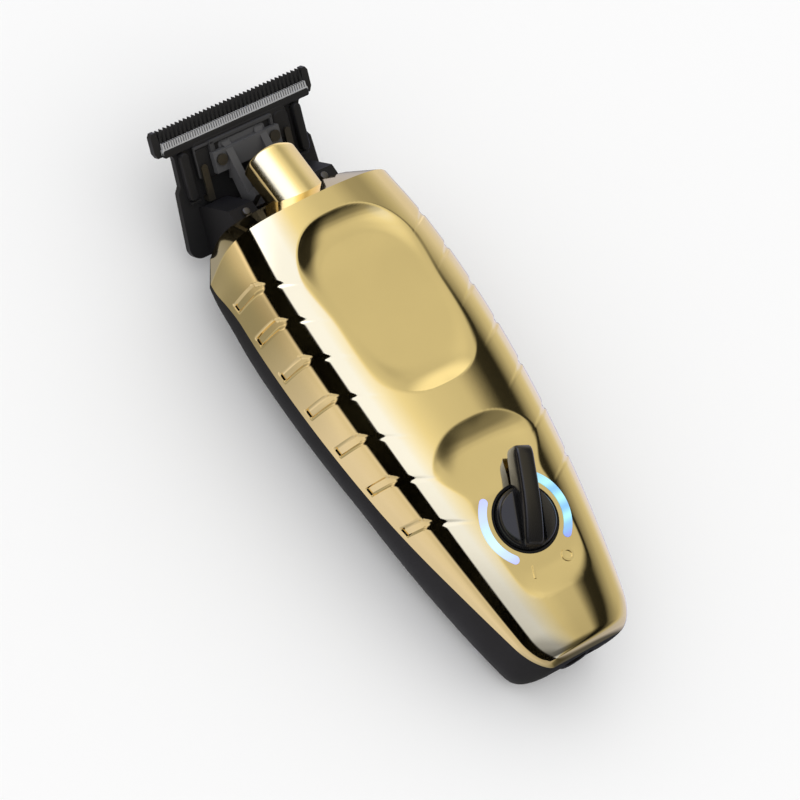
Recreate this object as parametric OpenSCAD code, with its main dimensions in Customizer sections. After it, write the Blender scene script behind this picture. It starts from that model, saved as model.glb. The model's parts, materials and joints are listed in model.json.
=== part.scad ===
// Cordless T-blade hair trimmer, lying on its back.
// +Y runs up the body towards the blade, +Z is the front with the dial, +X is to the right.

/* [Body] */
// Length of the body, from the tail to the front edge of the head
body_len = 112.2; // [95:0.1:135]
// Reach of the blade past the front edge of the head
blade_reach = 32.3; // [29:0.1:38]
// Width of the body at its widest
body_w = 47.6; // [43:0.2:56]
// Width of the head at its front edge
head_w = 44.4; // [42:0.2:46]
// Width that the sides aim at where the tail ends
tail_w = 25; // [22:1:30]
// Distance from the tail to the widest place
widest_at = 84; // [76:1:90]
// Height of the crest of the front face over the resting face
front_h = 34; // [32:1:41]
// Radius of the long curve of the front face
front_r = 390; // [330:10:900]
// Distance from the tail to the top of the long curve
apex_at = 96; // [85:1:105]
// How far the front face is crowned across
crown = 3; // [1:0.5:5]
// Height of the seam between the front housing and the back cover
seam_z = 15; // [13:0.5:17]
// Wall of both housings
wall = 1.8; // [1.4:0.1:2.4]

/* [Grip slots] */
// Number of grip slots on each side
slot_count = 7; // [3:1:7]
// Distance from the tail to the lowest slot
slot_first = 38.1; // [36:0.1:44]
// Distance between the two lowest slots
slot_pitch = 11.3; // [9:0.1:12]
// Width of a slot
slot_w = 2.2; // [1.4:0.1:3]
// Depth of a slot
slot_depth = 0.8; // [0.4:0.1:1]

/* [Thumb recess] */
// Length of the thumb recess
thumb_len = 45.6; // [38:0.5:48]
// Width of the oval that the thumb recess fades out on
thumb_w = 35; // [31:0.5:38]
// Distance from the tail to the middle of the thumb recess
thumb_at = 84.4; // [82:0.2:87]
// Depth of the flat floor of the thumb recess under the crest
thumb_depth = 1.2; // [0.6:0.1:2]

/* [Power dial] */
// Distance from the tail to the centre of the dial
dial_at = 28.9; // [27:0.1:31]
// Depth of the dial face under the crest
dial_sink = 0.9; // [0.6:0.1:1.5]
// Radius of the dial
dial_r = 6.9; // [5.7:0.1:7.4]
// Height of the lever on the dial
lever_h = 5; // [3:0.1:6]
// Width of the lever
lever_w = 4.2; // [3:0.1:6]
// Length of the lever from the centre to its tip
lever_len = 14.6; // [10:0.2:15]
// Turn of the dial from on to off, in degrees
dial_turn = 45; // [30:1:60]
// Radius of the middle of the two light arcs
light_r = 9.8; // [9.4:0.1:10.4]
// Width of the light arcs
light_w = 1.9; // [1.2:0.1:2.2]
// Radius of the dial shaft
dial_shaft_r = 2; // [1.5:0.1:2.5]

/* [Blade] */
// Width over the teeth of the fixed blade
blade_w = 42.2; // [38:0.2:44]
// Length of the fixed blade along its own plane
blade_len = 31; // [29:0.5:32]
// Thickness of the fixed blade
blade_t = 1.6; // [1:0.1:2]
// Tilt of the blade, in degrees
blade_tilt = 42; // [38:1:46]
// Height of the tooth tips over the resting face
tip_z = 24.8; // [22:0.2:27]
// Number of teeth of the fixed blade
comb_teeth = 32; // [24:1:36]
// Travel of the cutter to each side
cutter_travel = 1.2; // [0.8:0.1:1.5]

/* [Drive] */
// Diameter of the motor
motor_d = 20; // [16:0.5:21]
// Length of the motor
motor_len = 28; // [24:1:30]
// Height of the motor axis over the resting face
motor_z = 16.7; // [16.5:0.1:17.5]
// Radius of the motor shaft
shaft_r = 1; // [0.75:0.05:1.25]
// Diameter of the battery cell
cell_d = 16; // [13:0.5:16.5]
// Length of the battery cell
cell_len = 50; // [45:1:52]

/* [Charging inlet] */
// Radius of the plug hole of the inlet
inlet_r = 2.75; // [2.5:0.05:3]
// Radius of the contact pin in the inlet
inlet_pin_r = 1.05; // [0.8:0.05:1.1]
// Height of the inlet over the resting face
inlet_z = 11; // [10:0.5:12]

/* [Hidden] */
$fn = 48;

// Gaps between pieces that move past each other, and between pieces that are only placed
run_gap = 0.04;
air = 0.3;
seat = 0.05;

// Main places along the body
total_len = body_len + blade_reach;
y_tail = -total_len / 2;
y_head = y_tail + body_len;
y_front = total_len / 2;
y_wide = y_tail + widest_at;
y_apex = y_tail + apex_at;

// Tail corners in plan, the edge all round the tail, and the bevel of the head
corner_run = 7;
corner_cut = 3.4;
edge_r = 2;
bevel_run = 5.4;
bevel_drop = 7.6;
bevel_in = 3.6;
bevel_rise = 2.5;
shoulder_n = 5.5;
belly_n_tail = 4.6;
belly_n_head = 2.9;
slot_lean = 0.135;
belly_flat = 0.03;
stern_run = 5;
bow_run = 27;
bow_rise = 6;

function smooth(t) = let (u = min(max(t, 0), 1)) u * u * (3 - 2 * u);
function round_off(d, run, depth) =
    let (u = min(max(d / run, 0), 1)) depth * (1 - sqrt(1 - u * u));

// Half width of the body at y, without and with its tail corners and head bevel
function side_curve(y) = y > y_wide
    ? body_w / 2 - (body_w - head_w) / 2 * pow((y - y_wide) / (y_head - y_wide), 2)
    : body_w / 2 - (body_w - tail_w) / 2 * pow((y_wide - y) / (y_wide - y_tail), 2);
function past_head(y) = max(y - y_head, 0) / bevel_run;
function half_w(y) = side_curve(min(y, y_head)) - round_off(y_tail + corner_run - y, corner_run, corner_cut)
    - bevel_in * past_head(y);

// Height of the crest and of the seam at y
function crest_z(y) = front_h - pow(y_apex - y, 2) / (2 * front_r)
    - round_off(y_tail + edge_r - y, edge_r, edge_r)
    - bevel_drop * past_head(y);
function seam(y) = seam_z + 2 * smooth((y_tail + 45 - y) / 40) - 3.5 * smooth((y - y_head + 16) / 16);
function crest_slope(y) = (y_apex - y) / front_r;

// The walls lean towards the head on their way down, and so do the slots in them
function lean_back(y, z) = (crest_slope(y) + slot_lean * smooth((y - y_tail) / 25) * smooth((y_head - y) / 10))
    * max(crest_z(y) - crown - max(z, seam(y)), 0);

// Squareness of the section of the back cover
function belly_n(y) = belly_n_tail - (belly_n_tail - belly_n_head) * smooth((y - y_tail - 8) / 45);

// Resting face and the rise of the back cover towards the tail and the head
function belly_z(y) = round_off(y_tail + stern_run - y, stern_run, seam(y) - 1)
    + bow_rise * pow(max(min(y, y_head) - y_head + bow_run, 0) / bow_run, 2) + bevel_rise * past_head(y);

// Dial face: a flat face square to the dial axis, with its own frame
dial_y = y_tail + dial_at;
dial_z = crest_z(dial_y) - dial_sink;
dial_tilt = atan(crest_slope(dial_y)) + 1;
module dial_frame() {
    translate([0, dial_y, dial_z]) rotate([dial_tilt, 0, 0]) children();
}
function dial_plane(y) = dial_z + (y - dial_y) * tan(dial_tilt);

// Recess outlines as superellipses, 1 on the outline
thumb_y = y_tail + thumb_at;
dial_recess_y = dial_y + 3.8;
dial_recess_w = 31.5;
dial_recess_len = 40.4;
recess_edge = 0.28;
arch_edge = 0.34;
side_edge = 0.22;
arch_run = 10;
arch_drop = 1.9;
scoop_run = 16;
scoop_drop = 0.9;
function outline(x, y, cy, w, l, n) = pow(pow(abs(2 * x / w), n) + pow(abs(2 * (y - cy) / l), n), 1 / n);
// Share of the full depth, which falls quickly inside the rim and then levels out
function sunk(x, y, cy, w, l, edge) =
    1 - pow(1 - min(max((1 - outline(x, y, cy, w, l, 2.6)) / edge, 0), 1), 2.5);
function dial_floor(y) = dial_plane(y) - arch_drop * smooth((y - dial_y - 9) / arch_run);
function dial_edge(y) = side_edge + (arch_edge - side_edge) * smooth((y - dial_y - 4) / 10);
function thumb_floor(y) = crest_z(y) - thumb_depth - scoop_drop * smooth((y - thumb_y - 4) / scoop_run);

// Front face at x, y after the recesses, where z is its height without them
function recessed(x, y, z) = let (
    a = sunk(x, y, thumb_y, thumb_w, thumb_len, recess_edge),
    b = sunk(x, y, dial_recess_y, dial_recess_w, dial_recess_len, dial_edge(y)),
    z1 = z - a * max(z - thumb_floor(y), 0))
    z1 - b * max(z1 - dial_floor(y), 0);

// Section of the front housing: pairs of share of width and share of height, left to right
side_steps = [0, 0.14, 0.3, 0.45, 0.6, 0.74];
top_steps = [0.945, 0.915, 0.87, 0.81, 0.74, 0.65, 0.56, 0.47, 0.38, 0.29, 0.2, 0.1];
function super_y(x, n) = pow(max(1 - pow(x, n), 0), 1 / n);
half_front = concat([for (s = side_steps) [super_y(s, shoulder_n), s]],
    [for (t = top_steps) [t, super_y(t, shoulder_n)]]);
front_section = concat([for (p = half_front) [-p[0], p[1]]], [[0, 1]],
    [for (i = [len(half_front) - 1:-1:0]) half_front[i]]);

// Each gap between two slots is a little shorter than the one below it
slot_gather = 0.19;
slot_ys = [for (i = [0:slot_count - 1])
    y_tail + slot_first + i * slot_pitch - slot_gather * i * (i - 1)];
function in_slot(y) = len([for (s = slot_ys) if (abs(y - s) < slot_w / 2 + 0.01) 1]) > 0;
function slot_cut(y, p) = in_slot(y) && p[1] > 0.1 && abs(p[0]) > 0.85 ? slot_depth : 0;

function front_point(y, p, inset, slotted) = let (
    w = half_w(y) - inset,
    cut = slotted ? slot_cut(y, p) : 0,
    side = max(abs(p[0]) * w - cut, 0) * sign(p[0]),
    z0 = seam(y) + p[1] * (crest_z(y) - crown - inset - seam(y)) + crown * (1 - p[0] * p[0]) * p[1],
    z1 = recessed(side, y, z0 + inset) - inset,
    z = z1 - (p[1] > 0.8 ? cut * 0.6 : 0))
    [side, y + lean_back(y, z), z];

// Stations along the body: close together at the tail and at each side of a slot
slot_lip = 0.3;
plain_ys = concat([for (a = [0, 18, 36, 54, 72]) y_tail + corner_run * (1 - cos(a))],
    [for (y = [y_tail + corner_run:2.2:slot_ys[0] - slot_w]) y]);
slot_stations = [for (i = [0:slot_count - 1])
    each [slot_ys[i] - slot_w / 2 - slot_lip, slot_ys[i] - slot_w / 2, slot_ys[i] + slot_w / 2,
        slot_ys[i] + slot_w / 2 + slot_lip, slot_ys[i] + slot_pitch * 0.42, slot_ys[i] + slot_pitch * 0.58]];
head_ys = [y_head, y_head + bevel_run];
front_ys = concat(plain_ys, [for (y = slot_stations) if (y < y_head - 0.5) y], head_ys);

// A shell whose outer and inner grids run along the same stations, closed at the tail
module shell_grid(outer, inner, flip) {
    n = len(outer);
    k = len(outer[0]);
    tail_o = (outer[0][0] + outer[0][k - 1]) / 2;
    tail_i = (inner[0][0] + inner[0][k - 1]) / 2;
    points = concat([for (r = outer) each r], [for (r = inner) each r], [tail_o, tail_i]);
    c_o = 2 * n * k;
    c_i = c_o + 1;
    quads = concat(
        [for (i = [0:n - 2]) for (j = [0:k - 2])
            [i * k + j, i * k + j + 1, (i + 1) * k + j + 1, (i + 1) * k + j]],
        [for (i = [0:n - 2]) for (j = [0:k - 2])
            [(n + i) * k + j, (n + i + 1) * k + j, (n + i + 1) * k + j + 1, (n + i) * k + j + 1]],
        [for (j = [0:k - 2])
            [(n - 1) * k + j, (n - 1) * k + j + 1, (2 * n - 1) * k + j + 1, (2 * n - 1) * k + j]],
        [for (i = [0:n - 2]) [i * k, (i + 1) * k, (n + i + 1) * k, (n + i) * k]],
        [for (i = [0:n - 2]) [(i + 1) * k - 1, (n + i + 1) * k - 1, (n + i + 2) * k - 1, (i + 2) * k - 1]],
        [[0, n * k, c_i, c_o], [c_o, c_i, (n + 1) * k - 1, k - 1]]);
    fans = concat([for (j = [0:k - 2]) [j, c_o, j + 1]],
        [for (j = [0:k - 2]) [n * k + j, n * k + j + 1, c_i]]);
    faces = concat([for (q = quads) each [[q[0], q[1], q[2]], [q[0], q[2], q[3]]]], fans);
    polyhedron(points, flip ? [for (f = faces) [f[2], f[1], f[0]]] : faces);
}

// Station of the inner grid that belongs to a station of the outer grid
function inner_y(y, y_end) = y_tail + wall + (y - y_tail) * (y_end - y_tail - wall) / (y_end - y_tail);

// Underside of the back cover at x, y
function under_z(x, y) = seam(y) - (seam(y) - belly_z(y))
    * min(super_y(min(abs(x) / half_w(y), 1), belly_n(y)) / (1 - belly_flat), 1);

// Screws that hold the two housings together, through posts between them
post_r = 2.2;
screw_r = 1.1;
screw_head_r = 1.9;
screw_head_h = 1;
screw_sink = 1.1;
screw_len = 11;
screw_places = [[-13, y_head - 10], [13, y_head - 10], [-10.6, y_tail + 15.5], [10.6, y_tail + 15.5]];
function screw_base(p) = under_z(p[0], p[1]) + screw_sink;

module front_housing() {
    outer = [for (y = front_ys) [for (p = front_section) front_point(y, p, 0, true)]];
    inner = [for (y = front_ys) let (yi = inner_y(y, y_head + bevel_run))
        [for (p = front_section) front_point(yi, p, wall, false)]];
    color("goldenrod") difference() {
        shell_grid(outer, inner, false);
        nose_solid(-seat, 0);
        dial_frame() {
            translate([0, 0, -8]) cylinder(r = bezel_r, h = 12);
            for (a = [0, 180]) light_arc(a, seat, -8, 4);
        }
    }
}

// Back cover: stations, section as angles round a superellipse from left to right, and grid
cover_angles = [0, 1, 4, 9, 17, 28, 40, 52, 64, 77];
cover_section = concat(cover_angles, [90], [for (i = [len(cover_angles) - 1:-1:0]) 180 - cover_angles[i]]);
cover_ys = concat([for (a = [0:12:60]) y_tail + stern_run * (1 - cos(a))],
    [for (y = [y_tail + stern_run * 0.7:3.2:y_head - 3]) y], [y_head, y_head + bevel_run]);
function cover_point(y, a, inset) = let (
    top = seam(y),
    power = 2 / belly_n(y),
    x = -sign(cos(a)) * pow(abs(cos(a)), power) * (half_w(y) - inset),
    depth = max(top - belly_z(y) - inset, 0.3),
    z = top - depth * min(pow(sin(a), power) / (1 - belly_flat), 1))
    [x, y + lean_back(y, z), z];

module back_cover() {
    outer = [for (y = cover_ys) [for (a = cover_section) cover_point(y, a, 0)]];
    inner = [for (y = cover_ys) let (yi = inner_y(y, y_head + bevel_run))
        [for (a = cover_section) cover_point(yi, a, wall)]];
    color("#222222") difference() {
        shell_grid(outer, inner, true);
        for (p = screw_places) {
            translate([p[0], p[1], -5]) cylinder(r = screw_head_r + 0.3, h = 5 + screw_base(p));
            translate([p[0], p[1], -5]) cylinder(r = screw_r + seat, h = 15);
        }
        translate([0, y_tail - 5, inlet_z]) rotate([-90, 0, 0]) cylinder(r = socket_r + seat, h = 10);
    }
}

// Gasket in the seam, as a thin strip that follows the inner edge of both housings
gasket_w = 0.8;
gasket_h = 1.2;
gasket_gap = 0.3;
function gasket_rim(inset) = let (
    ys = [for (y = cover_ys) if (y <= y_head)
        y_tail + wall + inset + (y - y_tail) * (body_len - wall - inset) / body_len],
    right = [for (y = ys) [half_w(y) - wall - inset, y + lean_back(y, seam(y)), seam(y)]])
    concat([for (i = [len(right) - 1:-1:0]) [-right[i][0], right[i][1], right[i][2]]], right);
module seam_gasket() {
    outer = gasket_rim(gasket_gap);
    inner = gasket_rim(gasket_gap + gasket_w);
    n = len(outer);
    points = [for (i = [0:n - 1]) each [
        outer[i] - [0, 0, gasket_h / 2], inner[i] - [0, 0, gasket_h / 2],
        inner[i] + [0, 0, gasket_h / 2], outer[i] + [0, 0, gasket_h / 2]]];
    sides = [for (i = [0:n - 2]) for (j = [0:3]) let (m = (j + 1) % 4)
        each [[i * 4 + j, i * 4 + m, (i + 1) * 4 + m], [i * 4 + j, (i + 1) * 4 + m, (i + 1) * 4 + j]]];
    ends = [[2, 1, 0], [3, 2, 0], [4 * n - 4, 4 * n - 3, 4 * n - 2], [4 * n - 4, 4 * n - 2, 4 * n - 1]];
    color("#303030") polyhedron(points, [for (f = concat(sides, ends)) [f[2], f[1], f[0]]]);
}

module housing_screws() {
    color("silver") for (p = screw_places) translate([p[0], p[1], screw_base(p)]) {
        difference() {
            translate([0, 0, -screw_head_h]) cylinder(r = screw_head_r, h = screw_head_h);
            for (a = [0, 60, 120]) rotate([0, 0, a])
                translate([-1.1, -0.25, -screw_head_h - 0.1]) cube([2.2, 0.5, 0.7]);
        }
        cylinder(r = screw_r, h = screw_len);
    }
}
// Inner faces of the back cover and of the front housing over a post, at its far side
function post_floor(x, y) = seam(y) - max(seam(y) - belly_z(y) - wall, 0)
    * min(super_y(min(x / (half_w(y) - wall), 1), belly_n(y)) / (1 - belly_flat), 1);
function post_roof(x, y) =
    front_point(y, [x / half_w(y), super_y(x / half_w(y), shoulder_n)], wall, false)[2];
module screw_posts() {
    color("#2c2c2c") for (p = screw_places) let (
        x = abs(p[0]) + post_r,
        ends = [p[1] - post_r, p[1] + post_r],
        z0 = max([for (y = ends) post_floor(x, y)]) + air,
        z1 = min([for (y = ends) post_roof(x, y)]) - 2 * air)
        translate([p[0], p[1], z0]) difference() {
            cylinder(r = post_r, h = z1 - z0);
            translate([0, 0, -1]) cylinder(r = screw_r, h = screw_base(p) + screw_len + 1 - z0);
        }
}

// Head: nose over the drive, plate that closes the head, and the blade stack in its own frame
y_mouth = y_head + bevel_run;
nose_w = 12;
nose_r = 9.5;
nose_bow = 24;
nose_reach = 11;
nose_root = 3.4;
nose_top = crest_z(y_mouth) + 3.7;
nose_wall = 1.4;
nose_depth = 6.2;
nose_dip = 4;
module nose_solid(inset, back) {
    translate([0, y_mouth, nose_top]) rotate([-nose_dip, 0, 0]) intersection() {
        translate([0, -nose_root - back, -nose_r]) rotate([-90, 0, 0])
            cylinder(r = nose_r - inset, h = nose_root + back + nose_reach - inset);
        translate([-nose_w / 2 + inset, -20, -nose_depth]) cube([nose_w - 2 * inset, 40, nose_depth + 1]);
        translate([0, nose_reach - nose_bow, -20]) cylinder(r = nose_bow - inset, h = 30, $fn = 192);
    }
}
module nose_cover() {
    color("goldenrod") difference() {
        nose_solid(0, 0);
        translate([0, 0, -0.6]) nose_solid(nose_wall, 4);
    }
}

plate_t = 1.6;
plate_y = y_mouth - plate_t - 0.4;
function plate_outline(gap) = concat(
    [for (p = front_section) let (q = front_point(plate_y + plate_t, p, wall + gap, false)) [q[0], q[2]]],
    [for (i = [len(cover_section) - 2:-1:1]) let (
        q = cover_point(plate_y + plate_t, cover_section[i], wall + gap)) [q[0], q[2]]]);
hub_r = 4.8;
module head_plate() {
    color("#1c1c1c") difference() {
        translate([0, plate_y + plate_t, 0]) rotate([90, 0, 0]) linear_extrude(plate_t)
            polygon(plate_outline(air));
        translate([0, plate_y - 1, motor_z]) rotate([-90, 0, 0]) cylinder(r = hub_r + 0.8, h = 5);
        translate([-nose_w / 2 - seat, plate_y - 1, nose_top - nose_depth]) cube([nose_w + 2 * seat, 4, 20]);
    }
}

y_tip = y_front - blade_t * sin(blade_tilt);
function blade_at(v, n) = [y_tip + v * cos(blade_tilt) - n * sin(blade_tilt),
    tip_z + v * sin(blade_tilt) + n * cos(blade_tilt)];
module blade_frame() {
    translate([0, y_tip, tip_z]) rotate([blade_tilt, 0, 0]) children();
}
module yz_prism(points, x0, x1) {
    translate([x0, 0, 0]) rotate([90, 0, 90]) linear_extrude(x1 - x0) polygon(points);
}

// Fixed blade: a T with a comb edge. The teeth share one rule with the cutter
cap_w = 1.7;
tooth_h = 2.8;
neck_base_w = 37.4;
neck_top_w = 33.6;
neck_r = 3;
t_bar_h = 5.8;
t_fillet = 1.8;
function teeth(n, half, root, tip) = let (p = 2 * half / n)
    [for (i = [0:n - 1]) let (x = half - (i + 0.5) * p)
        each [[x + 0.46 * p, root], [x + 0.3 * p, root], [x + 0.17 * p, tip - 0.2], [x, tip],
            [x - 0.17 * p, tip - 0.2], [x - 0.3 * p, root]]];
function arc(cx, cy, r, a0, a1, n) = [for (i = [0:n]) let (a = a0 + (a1 - a0) * i / n)
    [cx + r * cos(a), cy + r * sin(a)]];
function mirrored(points) = [for (i = [len(points) - 1:-1:0]) [-points[i][0], points[i][1]]];
fixed_right = concat(
    arc(neck_base_w / 2 - neck_r, -blade_len + neck_r, neck_r, -90, 0, 6),
    [[neck_base_w / 2 - 0.8, -15.2], [neck_top_w / 2 + 0.2, -13.8]],
    arc(neck_top_w / 2 + t_fillet, -t_bar_h - t_fillet, t_fillet, 180, 90, 5),
    [[blade_w / 2 - 0.6, -t_bar_h], [blade_w / 2, -t_bar_h + 1.2], [blade_w / 2, -0.8],
        [blade_w / 2 - 0.5, 0], [blade_w / 2 - cap_w + 0.2, 0]]);
fixed_teeth = teeth(comb_teeth, blade_w / 2 - cap_w, -tooth_h, 0);
screw_x = 10.5;
blade_screw_v = -blade_len + 5;
module fixed_blade() {
    color("#2a2a2c") blade_frame() difference() {
        translate([0, 0, -blade_t]) linear_extrude(blade_t)
            polygon(concat(fixed_right, fixed_teeth, mirrored(fixed_right)));
        for (s = [-1, 1]) translate([s * screw_x, blade_screw_v, -blade_t - 1])
            cylinder(r = 1.5 + seat, h = blade_t + 2);
    }
}

// Cutter: a comb strip with a body behind it, sliding on the fixed blade
cutter_w = blade_w - 2 * cap_w - 0.6;
cutter_teeth = 30;
cutter_tip = -1.9;
cutter_t = 1.4;
cutter_bar_h = 3.5;
cutter_body_w = 25;
cutter_back = -14;
blade_gap = 0.05;
cutter_right = [[cutter_body_w / 2 - 1.5, cutter_back], [cutter_body_w / 2, cutter_back + 1.5],
    [cutter_body_w / 2, cutter_tip - cutter_bar_h - 1], [cutter_body_w / 2 + 1, cutter_tip - cutter_bar_h],
    [cutter_w / 2, cutter_tip - cutter_bar_h], [cutter_w / 2, cutter_tip - 2.2]];
module cutter_blade() {
    color("#4a4a4e") blade_frame() difference() {
        translate([0, 0, blade_gap]) linear_extrude(cutter_t) polygon(concat(cutter_right,
            teeth(cutter_teeth, cutter_w / 2 - 0.1, cutter_tip - 2.2, cutter_tip), mirrored(cutter_right)));
        translate([-4, cutter_back - 1, -1]) cube([8, 4.5, 5]);
        for (s = [-1, 1]) translate([s * rivet_x, rivet_v, -1]) cylinder(r = rivet_r + seat, h = 5);
    }
}

// Carrier: a base riveted on the cutter, two arms back under the nose, and a slotted yoke
rivet_x = 7.1;
rivet_head_r = 1.3;
rivet_v = -10.6;
rivet_r = 0.9;
carrier_t = 1.6;
yoke_y = y_mouth + 4.7;
yoke_t = 2;
yoke_w = 11;
yoke_h = 7.8;
pin_r = 1;
slot_half = pin_r + 2 * cutter_travel + 0.3;
slot_half_h = pin_r + cutter_travel + air;
carrier_n = blade_gap + cutter_t;
arm_w = 1.8;
base_half = 8.8;
arm_z0 = motor_z - 3.2;
module cutter_carrier() {
    top = blade_at(-9, carrier_n + carrier_t);
    color("#8a8a8e") difference() {
        union() {
            blade_frame() translate([-base_half, -13.4, carrier_n])
                cube([2 * base_half, 4.8, carrier_t]);
            for (s = [-1, 1]) {
                x0 = s > 0 ? yoke_w / 2 - arm_w : -yoke_w / 2;
                yz_prism([[yoke_y, arm_z0], blade_at(-13.2, carrier_n + 0.2), blade_at(-9.2, carrier_n + 0.2),
                    [top[0], top[1]], [yoke_y, arm_z0 + 4]], x0, x0 + arm_w);
            }
            translate([-yoke_w / 2, yoke_y, motor_z - yoke_h / 2]) cube([yoke_w, yoke_t, yoke_h]);
        }
        translate([-slot_half, yoke_y - 1, motor_z - slot_half_h])
            cube([2 * slot_half, yoke_t + 2, 2 * slot_half_h]);
        blade_frame() for (s = [-1, 1]) translate([s * rivet_x, rivet_v, 0])
            cylinder(r = rivet_r + seat, h = 5);
    }
}
module carrier_rivets() {
    color("silver") blade_frame() for (s = [-1, 1]) translate([s * rivet_x, rivet_v, 0]) {
        translate([0, 0, blade_gap]) cylinder(r = rivet_r, h = cutter_t + carrier_t);
        translate([0, 0, carrier_n + carrier_t]) cylinder(r = rivet_head_r, h = 0.6);
    }
}

// Guides at each side of the cutter, and the mount that holds the blade to the head
guide_x = cutter_body_w / 2 + cutter_travel + air;
guide_w = 2.2;
module cutter_guides() {
    color("#3a3a3c") blade_frame() for (s = [-1, 1])
        translate([s > 0 ? guide_x : -guide_x - guide_w, -19, 0]) {
            translate([0, guide_w / 2, 0]) cube([guide_w, 9, 2.2]);
            for (y = [guide_w / 2, 9 + guide_w / 2])
                translate([guide_w / 2, y, 0]) cylinder(r = guide_w / 2, h = 2.2);
        }
}
mount_w = 28;
mount_y = plate_y + plate_t;
cheek_in = yoke_w / 2 + cutter_travel + 3 * air;
cheek_top = crest_z(y_mouth) - crown - wall + 0.5;
module blade_mount() {
    base = blade_at(-blade_len + 0.6, 0);
    lip = blade_at(-21.5, 0);
    z_top = motor_z - yoke_h / 2 - air - 0.2;
    cheek = blade_at(-20, 0);
    color("#161616") difference() {
        union() {
            yz_prism([[mount_y, 8.4], base, lip, [lip[0] - 1, z_top], [mount_y, z_top]], -mount_w / 2, mount_w / 2);
            for (s = [-1, 1]) {
                x0 = s > 0 ? cheek_in : -mount_w / 2;
                yz_prism([[mount_y, 9], [base[0], base[1] + 3], cheek, [cheek[0] - 1, cheek[1] + 2.4],
                    [mount_y + 4, cheek_top], [mount_y, cheek_top]], x0, x0 + mount_w / 2 - cheek_in);
            }
        }
        blade_frame() for (s = [-1, 1]) translate([s * screw_x, blade_screw_v, -1])
            cylinder(r = 1.25 + seat, h = 5);
        for (s = [-1, 1]) translate([s * screw_x, mount_y + 2.2, cheek_top - 5])
            cylinder(r = 0.9 + seat, h = 20);
        translate([0, mount_y - 1, motor_z]) rotate([-90, 0, 0]) cylinder(r = hub_r + 0.7, h = 8);
    }
}
module mount_screws() {
    color("silver") for (s = [-1, 1]) translate([s * screw_x, mount_y + 2.2, cheek_top]) {
        translate([0, 0, -4.5]) cylinder(r = 0.9, h = 4.5);
        difference() {
            cylinder(r = 1.7, h = 1.1);
            translate([-2, -0.25, 0.6]) cube([4, 0.5, 1]);
        }
    }
}
module blade_screws() {
    color("silver") blade_frame() for (s = [-1, 1]) translate([s * screw_x, blade_screw_v, 0]) {
        translate([0, 0, -blade_t]) cylinder(r = 1.25, h = blade_t + 3.5);
        difference() {
            translate([0, 0, -blade_t - 1.1]) cylinder(r = 2.3, h = 1.1);
            translate([-3, -0.3, -blade_t - 1.2]) cube([6, 0.6, 0.7]);
        }
    }
}
// Flat springs that keep the cutter down: two fingers, each with a foot on the fixed blade
finger_w = 1.6;
finger_back = -18.2;
finger_len = 7;
finger_x = 11.2;
module tension_spring() {
    n0 = blade_gap + cutter_t + 0.15;
    color("#9a9aa0") blade_frame()
        for (s = [-1, 1]) translate([s * finger_x - finger_w / 2, finger_back, n0]) {
            cube([finger_w, finger_len, 0.6]);
            translate([finger_w / 2, finger_len, 0]) cylinder(r = finger_w / 2, h = 0.6);
            translate([0, -0.6, -n0]) cube([finger_w, 1.2, n0 + 0.6]);
        }
}

// Motor: a can with two end caps, bearings, magnets and a wound rotor on one shaft
motor_front = y_head - 4.5;
motor_rear = motor_front - motor_len;
can_t = 0.8;
cap_t = 2;
bearing_r = 2.4;
hub_y = y_mouth - 0.7;
hub_len = 4.2;
module along_y(y) { translate([0, y, motor_z]) rotate([-90, 0, 0]) children(); }
module motor_can() {
    color("#b8b8bc") along_y(motor_rear) difference() {
        cylinder(r = motor_d / 2, h = motor_len);
        translate([0, 0, -1]) cylinder(r = motor_d / 2 - can_t, h = motor_len + 2);
        for (a = [45, 225]) rotate([0, 0, a])
            translate([motor_d / 2 - 2, -2, 4]) cube([4, 4, 6]);
    }
}
module end_cap(y) {
    along_y(y) difference() {
        cylinder(r = motor_d / 2 - can_t, h = cap_t);
        translate([0, 0, -1]) cylinder(r = bearing_r, h = cap_t + 2);
    }
}
module motor_front_cap() { color("#a8a8ac") end_cap(motor_front - cap_t); }
module motor_rear_cap() {
    color("#e8e4d8") {
        end_cap(motor_rear);
        for (s = [-1, 1]) translate([s * 6 - 1.2, motor_rear - 2.6, motor_z + 0.4]) cube([2.4, 2.6, 0.5]);
    }
}
module motor_bearings() {
    color("#b08040") for (y = [motor_rear, motor_front - cap_t]) along_y(y) difference() {
        cylinder(r = bearing_r, h = cap_t);
        translate([0, 0, -1]) cylinder(r = shaft_r + run_gap, h = cap_t + 2);
    }
}
module motor_magnets() {
    color("#404048") for (a = [20, 200]) along_y(motor_rear + 7) rotate([0, 0, a])
        rotate_extrude(angle = 140) translate([motor_d / 2 - can_t - 1.7, 0]) square([1.65, motor_len - 12]);
}
module motor_cradle() {
    color("#2c2c2c") for (y = [motor_rear + 1.5, motor_front - 8]) {
        z0 = belly_z(y + 4) + wall + seat;
        difference() {
            translate([-7, y, z0]) cube([14, 4, motor_z - z0]);
            along_y(y - 1) cylinder(r = motor_d / 2 + seat, h = 6);
        }
    }
}
armature_r = motor_d / 2 - can_t - 1.7 - 0.5;
module motor_shaft() {
    color("#d0d0d4") along_y(motor_rear - 1) cylinder(r = shaft_r, h = hub_y + hub_len - motor_rear + 1);
}
module armature() {
    color("#b06030") along_y(motor_rear + 8) difference() {
        cylinder(r = armature_r, h = motor_len - 14);
        translate([0, 0, -1]) cylinder(r = shaft_r, h = motor_len);
        for (a = [0:120:240]) rotate([0, 0, a])
            translate([armature_r - 1.6, -0.6, -1]) cube([3, 1.2, motor_len]);
    }
}
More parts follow.
